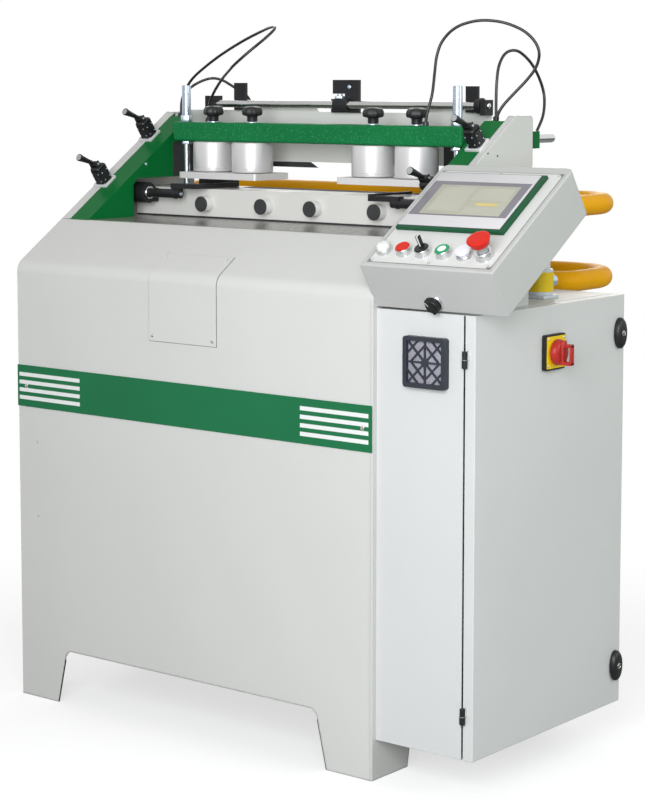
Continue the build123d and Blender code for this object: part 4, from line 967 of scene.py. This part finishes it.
# %% [markdown]
# ## Main switch and door locks
# The main switch has a black base with a yellow plate and a red handle that can be padlocked: the grip is a
# frame of four bars round a slot. The locks are ovals: turned domes, squeezed to just over half their width.

# %% Main switch
door_high = corners("cabinet_door")[1]
switch_low, switch_high = corners("switch_base")
switch_mid = (switch_low + switch_high) / 2
switch_at = local((door_high.x, switch_mid.y, switch_mid.z), RIGHT)
base = bmesh.new()
block(base, switch_at, (-33, -33, 0), (33, 33, 8.4), 5.0, 4, axis=2)
block(base, switch_at, (-29.5, -29.5, 8), (30.5, 29.5, 10), 2.0, 3, axis=2, index=1)
for y, z in ((-25, -25), (25, 25), (-25, 25), (25, -25)):
    screw(base, moved(switch_at, y, z, 10), 2.2, 0.8, index=2)
piece("switch_plate", base, "door", "black_plastic", black_plastic, yellow_plastic, steel,
      stands_for=("switch_base",))
handle = bmesh.new()
lathe(handle, switch_at, [
    (0, 5), (8, 5), (8, 11), (22.6, 11), (24, 12.2), (24, 17), (23, 20), (20.5, 23.5), (17, 25.4), (0, 25.6),
], 56)
GRIP_BARS = {
    "foot": ((-7, -23, 17), (7, 22, 29.5), 2.2),
    "top": ((-6, -23, 41), (6, 16, 45), 1.4),
    "low end": ((-6, -23, 28), (6, -16.5, 45), 1.6),
    "high end": ((-6, 9.5, 28), (6, 16, 45), 1.6),
}
for low, high, round_by in GRIP_BARS.values():
    block(handle, switch_at, low, high, round_by, 3)
piece("switch_grip", handle, "switch_handle", "red_plastic", dull_red, stands_for=("switch_handle",))


# %% Door locks
def squeezed_dome(bm, at, profile, share, index=0):
    """Turned form squeezed along its local X axis."""
    before = set(bm.verts)
    lathe(bm, at, profile, 56, index)
    fresh = [vert for vert in bm.verts if vert not in before]
    bmesh.ops.scale(bm, vec=(share, 1, 1), space=at.inverted(), verts=fresh)


LOCK_SHARE = 17.5 / 30
for name in ("upper_lock", "lower_lock"):
    low, high = corners(name)
    lock_at = local((door_high.x + 0.3, (low.y + high.y) / 2, (low.z + high.z) / 2), RIGHT)
    lock = bmesh.new()
    squeezed_dome(lock, lock_at, [
        (0, 0), (28.6, 0), (30, 1.4), (30, 4.5), (29, 7.6), (26, 10.4), (21, 11.9), (12, 12.3), (0, 12.4),
    ], LOCK_SHARE)
    lathe(lock, lock_at, [(5.6, 12), (5.4, 12.7), (4.6, 12.9), (4.4, 12.2), (0, 12.2)], 28, index=1)
    block(lock, lock_at, (-1.1, -4, 11.8), (1.1, 4, 12.8), 0.3, index=1)
    lathe(lock, moved(lock_at, 0, 0, -15), [(0, 0), (6, 0), (6, 16), (0, 16)], 24, index=1)
    block(lock, moved(lock_at, 0, 0, -17.3), (-6, -26, 0), (6, 6, 3), 1.5, axis=2, index=1)
    piece("oval_" + name, lock, name, "black_plastic", black_plastic, steel, stands_for=(name,))

# %% [markdown]
# ## The air unit on the cabinet
# The regulator is a bowl with a ribbed knob on top. A yellow band goes round the bowl. The knob's ribs come
# from a spin with few steps.

# %% Air unit
pale_bowl = finish("pale_bowl", (0.58, 0.61, 0.66), 0.3, spread=0.05, bump=0.08, edge_r=0.6)
air_low = corners("air_unit")[0]
AIR_HALF = 26
air_at = local((air_low.x + AIR_HALF, air_low.y + AIR_HALF, air_low.z))
bowl = bmesh.new()
block(bowl, air_at, (-AIR_HALF, -AIR_HALF, 0), (AIR_HALF, AIR_HALF, 6), 2.0, 3)
lathe(bowl, air_at, [(0, 5), (23, 5), (25, 7), (25, 52), (23.6, 55), (20, 56), (0, 56)], 56)
lathe(bowl, air_at, [(25, 13), (25.3, 13), (25.3, 50), (25, 50)], 56, index=1)
lathe(bowl, air_at, [(0, 55), (18, 55), (19, 57), (19, 76), (17.6, 79), (14, 80), (0, 80)], 20, index=2)
inlet = local((air_low.x + AIR_HALF, air_low.y + 36, air_low.z + 30), REAR)
lathe(bowl, inlet, [(0, 0), (12, 0), (12, 33), (11, 35), (6.6, 35), (6, 34.4), (6, 20), (0, 20)], 36, index=3)
piece("air_bowl", bowl, "machine", "black_plastic", pale_bowl, yellow_plastic, white_plastic, zinc, angle=20,
      stands_for=("air_unit",))

# %% [markdown]
# ## Stops
# The rear stop's middle flag is held by a clamp block with a screw, and the side stops slide in housings with
# a chromed ring. These trims ride on what they are screwed to, so they follow the stops when those move.

# %% Trims of the rear stop
SHAFT_Y, SHAFT_Z = 231.0, 1234.3
FLAG_FACE = 235.5
CLAMP_NUT = (2, 228.5, 1246.5)
NUT_TALL = 6.0
clamp = bmesh.new()
block(clamp, MACHINE, (-14, 221, 1222), (24, 236, 1246.5), 1.2, 2)
hex_nut(clamp, local(CLAMP_NUT), 20.0, NUT_TALL, index=1)
lathe(clamp, moved(local(CLAMP_NUT), 0, 0, NUT_TALL), [
    (0, 0), (6, 0), (6, 3.2), (5.2, 4), (0, 4),
], 32, index=1)
screw(clamp, local((22, FLAG_FACE, 1271), FRONT), 4.6, 2.6, index=1)
for x, z in ((-18, 1279), (42, 1279), (42, 1230)):
    screw(clamp, local((x, FLAG_FACE, z), FRONT), 2.4, 0.8)
piece("flag_clamps", clamp, "board_stop", "black_steel", black_steel, zinc)

# %% Trims of the bearings
ARM_Y, ARM_Z = 42, 1046
RING_PROFILE = [(9.8, 0), (13.5, 0), (13.5, 2.4), (12.9, 3), (10.4, 3), (9.8, 2.4), (9.8, 0)]
trims = bmesh.new()
for x, axes in ((376, RIGHT), (-368, LEFT)):
    screw(trims, local((x, SHAFT_Y, SHAFT_Z), axes), 6.2, 3.0)
for x, axes in ((380, LEFT), (-371, RIGHT)):
    lathe(trims, local((x, ARM_Y, ARM_Z), axes), RING_PROFILE, 40)
lathe(trims, local((349.5, SHAFT_Y, SHAFT_Z), RIGHT), [
    (8.8, 0), (15, 0), (16, 1), (16, 12.5), (15, 13.5), (8.8, 13.5), (8.8, 0),
], 40, index=1)
piece("bearing_trims", trims, "machine", "chrome", chrome, black_steel)

# %% Trims of the side stops
SCREW_SUNK = 1.4
SLEEVE_PROFILE = [(9.5, 0), (11, 0), (11, 5), (10.4, 5.6), (9.5, 5.6)]
for body, side, axes, arm_top, bar_top in (
    ("left_stop", -1, RIGHT, 1068.3, 1068.3), ("right_stop", 1, LEFT, 1059.5, 1063.0),
):
    trim = bmesh.new()
    screw(trim, local((side * 280, ARM_Y, ARM_Z), axes), 4.6, 3.0)
    for x, y, top in ((286, ARM_Y, arm_top), (294, ARM_Y, arm_top), (232, 44, bar_top), (232, 150, bar_top)):
        screw(trim, local((side * x, y, top - SCREW_SUNK)), 2.6, 1.6)
    lathe(trim, local((side * 296, ARM_Y, ARM_Z), axes), SLEEVE_PROFILE, 32, index=1)
    piece(body + "_trim", trim, body, "zinc", zinc, black_steel)

# %% [markdown]
# ## Seals, strips and painted shade of the work area
# The hood carries a rubber lip below its front. Dark blocks and plates in the rubber finish are painted
# shade: a strip that closes the gap under the table, a strip on the table top, a strip behind its left end, a
# sheet at the right end, a pad on the left plate's inner face, thin strips along the inner edges of the front
# feet, and strips in the gap round the access cover. Small collars hold the hoses where they enter plates,
# hood and beam. The ledge in
# front of the table is bare of paint: a thin sheet of dull steel whose dark tone is painted shade.

# %% Seals and painted shade
# Painted shade: dark blocks under and on the table, behind its left end, at the right end and on the left
# plate's inner face.
PAINTED_SHADE_BLOCKS = {
    "painted shade under the table": ((-435, 72.2, 995.2), (435, 76, 999.3)),
    "painted shade on the table top": ((-215, 155, 1056.9), (436, 205.5, 1057.15)),
    "painted shade behind the left end": ((-377, 207.4, 1046), (-262, 210, 1073.5)),
    "painted shade at the right end": ((258, 244, 1062), (399.5, 246.8, 1158)),
    "painted shade on the left plate": ((-384.1, 131, 1079), (-383.2, 246, 1152)),
}
HOOD_LIP = [(-381, 1100), (-72, 1100), (-92, 1111.5), (-381, 1111.5)]
HOOD_LIP_Y, HOOD_LIP_T = 248.5, 3.5
# Painted shade: thin dark strips along the inner edges of the front feet.
FOOT_SHADE = ((357, 0.5), (355, 0.5), (333.4, 93), (335.4, 93))
FOOT_SHADE_Y, FOOT_SHADE_T = -257.6, 2.2
GAP, WIDE_GAP, GAP_OUT, GAP_IN = 0.9, 1.8, 0.3, -0.2
BEND_R, BEND_STEPS = 30.0, 8


def cover_line(out):
    """Points (y, z) up the front, round the bend and up the slope, moved out from the body face."""
    turn = math.pi / 2 - SLOPE
    r = BEND_R + out
    centre_z = BEND_Z - BEND_R * math.tan(turn / 2)
    points = [(FRONT_Y - out, cover_low.z - GAP)]
    for step in range(BEND_STEPS + 1):
        angle = math.pi - turn * step / BEND_STEPS
        points.append((FRONT_Y + BEND_R + r * math.cos(angle), centre_z + r * math.sin(angle)))
    end_y = FRONT_Y + (cover_high.z - BEND_Z) / math.tan(SLOPE)
    points.append((end_y - out * math.sin(SLOPE), cover_high.z + out * math.cos(SLOPE)))
    return points


seals_and_shade = bmesh.new()
for low, high in PAINTED_SHADE_BLOCKS.values():
    block(seals_and_shade, MACHINE, low, high)
plate(seals_and_shade, local((0, HOOD_LIP_Y, 0), FRONT), HOOD_LIP, HOOD_LIP_T)
for side in (-1, 1):
    plate(seals_and_shade, local((0, FOOT_SHADE_Y, 0), FRONT), [(side * x, z) for x, z in FOOT_SHADE], FOOT_SHADE_T)
# Painted shade: dark strips in the gap round the access cover.
block(seals_and_shade, local((0, FRONT_Y, 0), FRONT), (cover_low.x - GAP, cover_low.z - GAP, GAP_IN),
      (cover_high.x + GAP, cover_low.z, GAP_OUT))
for x, wide in ((cover_low.x - WIDE_GAP, WIDE_GAP), (cover_high.x, GAP)):
    plate(seals_and_shade, local((x, 0, 0), RIGHT), cover_line(GAP_OUT) + cover_line(GAP_IN)[::-1], wide)
piece("rubber_seals_and_painted_shade", seals_and_shade, "machine", "rubber", rubber)

# %% Collars of the hoses
COLLAR = [(3.4, 0), (6.2, 0), (6.2, 7), (5.4, 8.4), (3.4, 8.4), (3.4, 0)]
FIRST, LAST = 0, -1
for name, body, ends in (
    ("plate_collars", "machine", (("hose_b", FIRST), ("hose_d", FIRST), ("hose_d", LAST))),
    ("beam_collars", "bridge", (("hose_a", FIRST), ("hose_c", LAST))),
):
    collars = bmesh.new()
    for hose, end in ends:
        lathe(collars, local(HOSE_ROUTES[hose][2][end]), COLLAR, 28)
    piece(name, collars, body, "hose", hose_plastic)

# %% Ledge sheet, painted shade
# Dull steel sheet over the ledge; its dark tone is painted shade.
ledge = bmesh.new()
block(ledge, MACHINE, (-383.8, -126, 994.8), (399.8, 71, 995.5))
piece("ledge_sheet_painted_shade", ledge, "machine", "steel", ledge_steel_painted_shade)

# %% Hinge sleeves
HINGE_AT = (660.0, -252.0)
HINGE_Z = ((143.0, 172.0), (783.0, 813.0))
LEAF_X, LEAF_Y = ((652, 659.5), (660.5, 665)), (-250.4, -246.9)
for half, (name, body) in enumerate((("lower_hinge_half", "machine"), ("upper_hinge_half", "door"))):
    sleeve = bmesh.new()
    for z_low, z_high in HINGE_Z:
        middle = (z_low + z_high) / 2
        low, high = ((z_low - 0.3, middle - 0.2), (middle + 0.2, z_high + 0.3))[half]
        tall = high - low
        lathe(sleeve, local((*HINGE_AT, low)), [
            (0, 0), (4.3, 0), (4.9, 0.6), (4.9, tall - 0.6), (4.3, tall), (0, tall),
        ], 24)
        block(sleeve, MACHINE, (LEAF_X[half][0], LEAF_Y[0], low), (LEAF_X[half][1], LEAF_Y[1], high), 0.4)
    piece(name, sleeve, body, "black_steel", black_steel)

# %% [markdown]
# ## The cutter drive
# Behind the work area a carriage runs on two rails, moved by a ball screw. The spindle motor has the cooling
# fins of a small induction motor, and each tooth of the cutter carries a brazed tip. The screw has two
# starts, and each is one tooth that is spun and moved on by one lead for each turn, as it is cut on a lathe.

# %% Ball screw
SCREW_AT, SCREW_R, CORE_R, SCREW_END = (210.0, 891.0), 8.0, 7.0, 457.0
LEAD, TURN_STEPS = 20.0, 24
JOURNAL, THREAD_L = 31.0, 844.0
screw_l = 2 * SCREW_END


def thread(bm, at, r, core, length, lead):
    """Spin one tooth along a rod, one lead for each turn."""
    tooth = [(core, 0), (r, 0.06 * lead), (r, 0.34 * lead), (core, 0.4 * lead)]
    turns = int(length / lead)
    verts = [bm.verts.new(at @ (Vector((x, 0, z)) * MM)) for x, z in tooth]
    edges = [bm.edges.new(pair) for pair in zip(verts, verts[1:])]
    bmesh.ops.spin(bm, geom=verts + edges, cent=at.translation, axis=at.col[2].xyz,
                   dvec=at.col[2].xyz * lead * MM / TURN_STEPS, angle=2 * math.pi * turns,
                   steps=turns * TURN_STEPS, use_merge=False, use_duplicate=False)


screw_rod = bmesh.new()
screw_at = local((-SCREW_END, *SCREW_AT), RIGHT)
lathe(screw_rod, screw_at, [
    (0, 0), (7, 0), (7.2, 0.4), (7.2, screw_l - 0.4), (7, screw_l), (0, screw_l),
], 32)
lathe(screw_rod, screw_at, [
    (0, 0), (7.4, 0), (SCREW_R, 0.6), (SCREW_R, JOURNAL - 1), (7.4, JOURNAL - 0.4), (CORE_R, JOURNAL),
], 32)
lathe(screw_rod, screw_at, [
    (CORE_R, screw_l - JOURNAL), (7.4, screw_l - JOURNAL + 0.4), (SCREW_R, screw_l - JOURNAL + 1),
    (SCREW_R, screw_l - 0.6), (7.4, screw_l), (0, screw_l),
], 32)
for start in (0, 180):
    thread(screw_rod, turned(moved(screw_at, 0, 0, JOURNAL), start, "Z"), SCREW_R, CORE_R, THREAD_L, LEAD)
piece("screw_thread", screw_rod, "screw", "steel", steel, stands_for=("ball_screw",))

# %% Spindle motor and cutter tips
HEAD_Y, HEAD_Z = 306.0, 955.0
fins = [point for h in range(14, 92, 4) for point in ((45, h), (45, h + 1.8), (41.5, h + 2), (41.5, h + 3.8))]
motor = bmesh.new()
block(motor, MACHINE, (25, 236.3, 910), (135, 252, 1004), 1.0, index=1)
block(motor, MACHINE, (30, 251, 930), (130, 275, 980), 1.5)
lathe(motor, local((18, HEAD_Y, HEAD_Z), RIGHT), [
    (10.2, 43), (10.2, 0.5), (12, 0), (30, 0), (33, 1.5), (34, 8), (44, 12), *fins,
    (44, 94), (45, 95), (45, 112), (43, 118), (38, 120), (0, 120),
], 64)
for x, z in ((35, 920), (125, 920), (35, 994), (125, 994)):
    screw(motor, local((x, 252, z), REAR), 5.0, 3.0, index=2)
piece("spindle_motor", motor, "lift", "aluminium", frame_paint, steel, zinc, stands_for=("lift_head",))
TEETH = 12
tips = bmesh.new()
for number in range(TEETH):
    tooth_at = turned(local((0, HEAD_Y, HEAD_Z), RIGHT), 360 / TEETH * number, "Z")
    block(tips, tooth_at, (75, -0.3, -5.5), (85.2, 2.2, 5.5), 0.3)
piece("cutter_tips", tips, "cutter", "steel", black_steel)

# %% [markdown]
# ## Inside the cabinet and behind the machine
# The mounting plate carries what such a cabinet holds: a drive with cooling ribs, a power supply, a
# transformer, a row of contactors, terminals, and slotted wiring ducts. They are plain blocks in the colours
# of such devices.

# %% Devices on the mounting plate
DECK_X = 473
ZINC, DARK, GREY, IRON, COPPER, GREEN = range(6)
DEVICE_BLOCKS = {
    "mounting plate": ((470, -225, 110), (DECK_X, 235, 840), 0.4, ZINC),
    "drive": ((DECK_X, -200, 590), (556, -80, 800), 3.0, DARK),
    "drive panel": ((555, -180, 725), (558, -100, 785), 1.0, GREY),
    "power supply": ((DECK_X, -50, 640), (540, 40, 790), 2.0, GREY),
    "transformer core": ((DECK_X, 60, 650), (545, 210, 760), 3.0, IRON),
    "transformer winding": ((DECK_X, 84, 640), (540, 186, 770), 6.0, COPPER),
}
RIBS, RIB_PITCH = 14, 8.5
VENT_Z, CONTACTOR_Y = range(652, 780, 8), range(-200, 161, 60)
TERMINALS, TERMINAL_PITCH, GREEN_EVERY = 51, 8.1, 9
DUCT_Z, DUCT_H, DUCT_SLOTS, SLOT_PITCH = (540, 370, 220), 40, 44, 9.9
devices = bmesh.new()
for low, high, round_by, index in DEVICE_BLOCKS.values():
    block(devices, MACHINE, low, high, round_by, index=index)
for y in (-210, 220):
    for z in (125, 825):
        lathe(devices, local((465, y, z), RIGHT), [(0, 0), (5, 0), (5, 5.5), (0, 5.5)], 20)
        screw(devices, local((DECK_X, y, z), RIGHT), 4.0, 2.0)
for number in range(RIBS):
    y = -194 + number * RIB_PITCH
    block(devices, MACHINE, (540, y, 602), (560, y + 3, 700), 0.6, index=DARK)
for z in VENT_Z:
    block(devices, MACHINE, (539.5, -38, z), (540.4, 28, z + 3), index=DARK)
for y in CONTACTOR_Y:
    block(devices, MACHINE, (DECK_X, y, 430), (530, y + 45, 510), 2.0, index=GREY)
    block(devices, MACHINE, (529, y + 9, 448), (535, y + 36, 492), 1.5, index=DARK)
for number in range(TERMINALS):
    y = -199 + number * TERMINAL_PITCH
    shade = GREEN if (number + 1) % GREEN_EVERY == 0 else GREY
    block(devices, MACHINE, (DECK_X, y, 290), (515, y + 7.4, 340), 0.8, index=shade)
for z in DUCT_Z:
    block(devices, MACHINE, (DECK_X, -215, z), (524, 225, z + DUCT_H), 1.0, index=GREY)
    for number in range(DUCT_SLOTS):
        y = -211 + number * SLOT_PITCH
        block(devices, MACHINE, (500, y, z - 0.3), (524.5, y + 3.5, z + DUCT_H + 0.3), index=DARK)
piece("cabinet_devices", devices, "machine", "grey_plastic", zinc, dark_plastic, grey_plastic, frame_paint,
      copper_wire, green_plastic, stands_for=("control_plate",))

# %% Gland and rear screws
rear_trims = bmesh.new()
gland_at = local((560, 200, 46))
lathe(rear_trims, gland_at, [
    (6.4, 0), (13, 0), (14.3, 1.2), (14.3, 16), (15.6, 16.4), (15.6, 29.8), (6.4, 29.8), (6.4, 0),
], 12, index=1)
REAR_FACE = 262
REAR_SCREWS = [(x, z) for x in (-435, -145, 145, 435) for z in (140, 840)] + [(-435, 490), (435, 490)]
for x, z in REAR_SCREWS:
    screw(rear_trims, local((x, REAR_FACE, z), REAR), 5.0, 2.4)
for y, z in ((103.1, 1145.5), (135.6, 1139.8), (144.5, 1113.5)):
    lathe(rear_trims, local((463, y, z), RIGHT), [(0, 0), (2.2, 0), (2.2, 0.2), (0, 0.2)], 16, index=1)
screw(rear_trims, local((-384, 46.2, 1106.5), RIGHT), 3.6, 1.6)
piece("rear_trims", rear_trims, "machine", "zinc", zinc, black_plastic, angle=25)
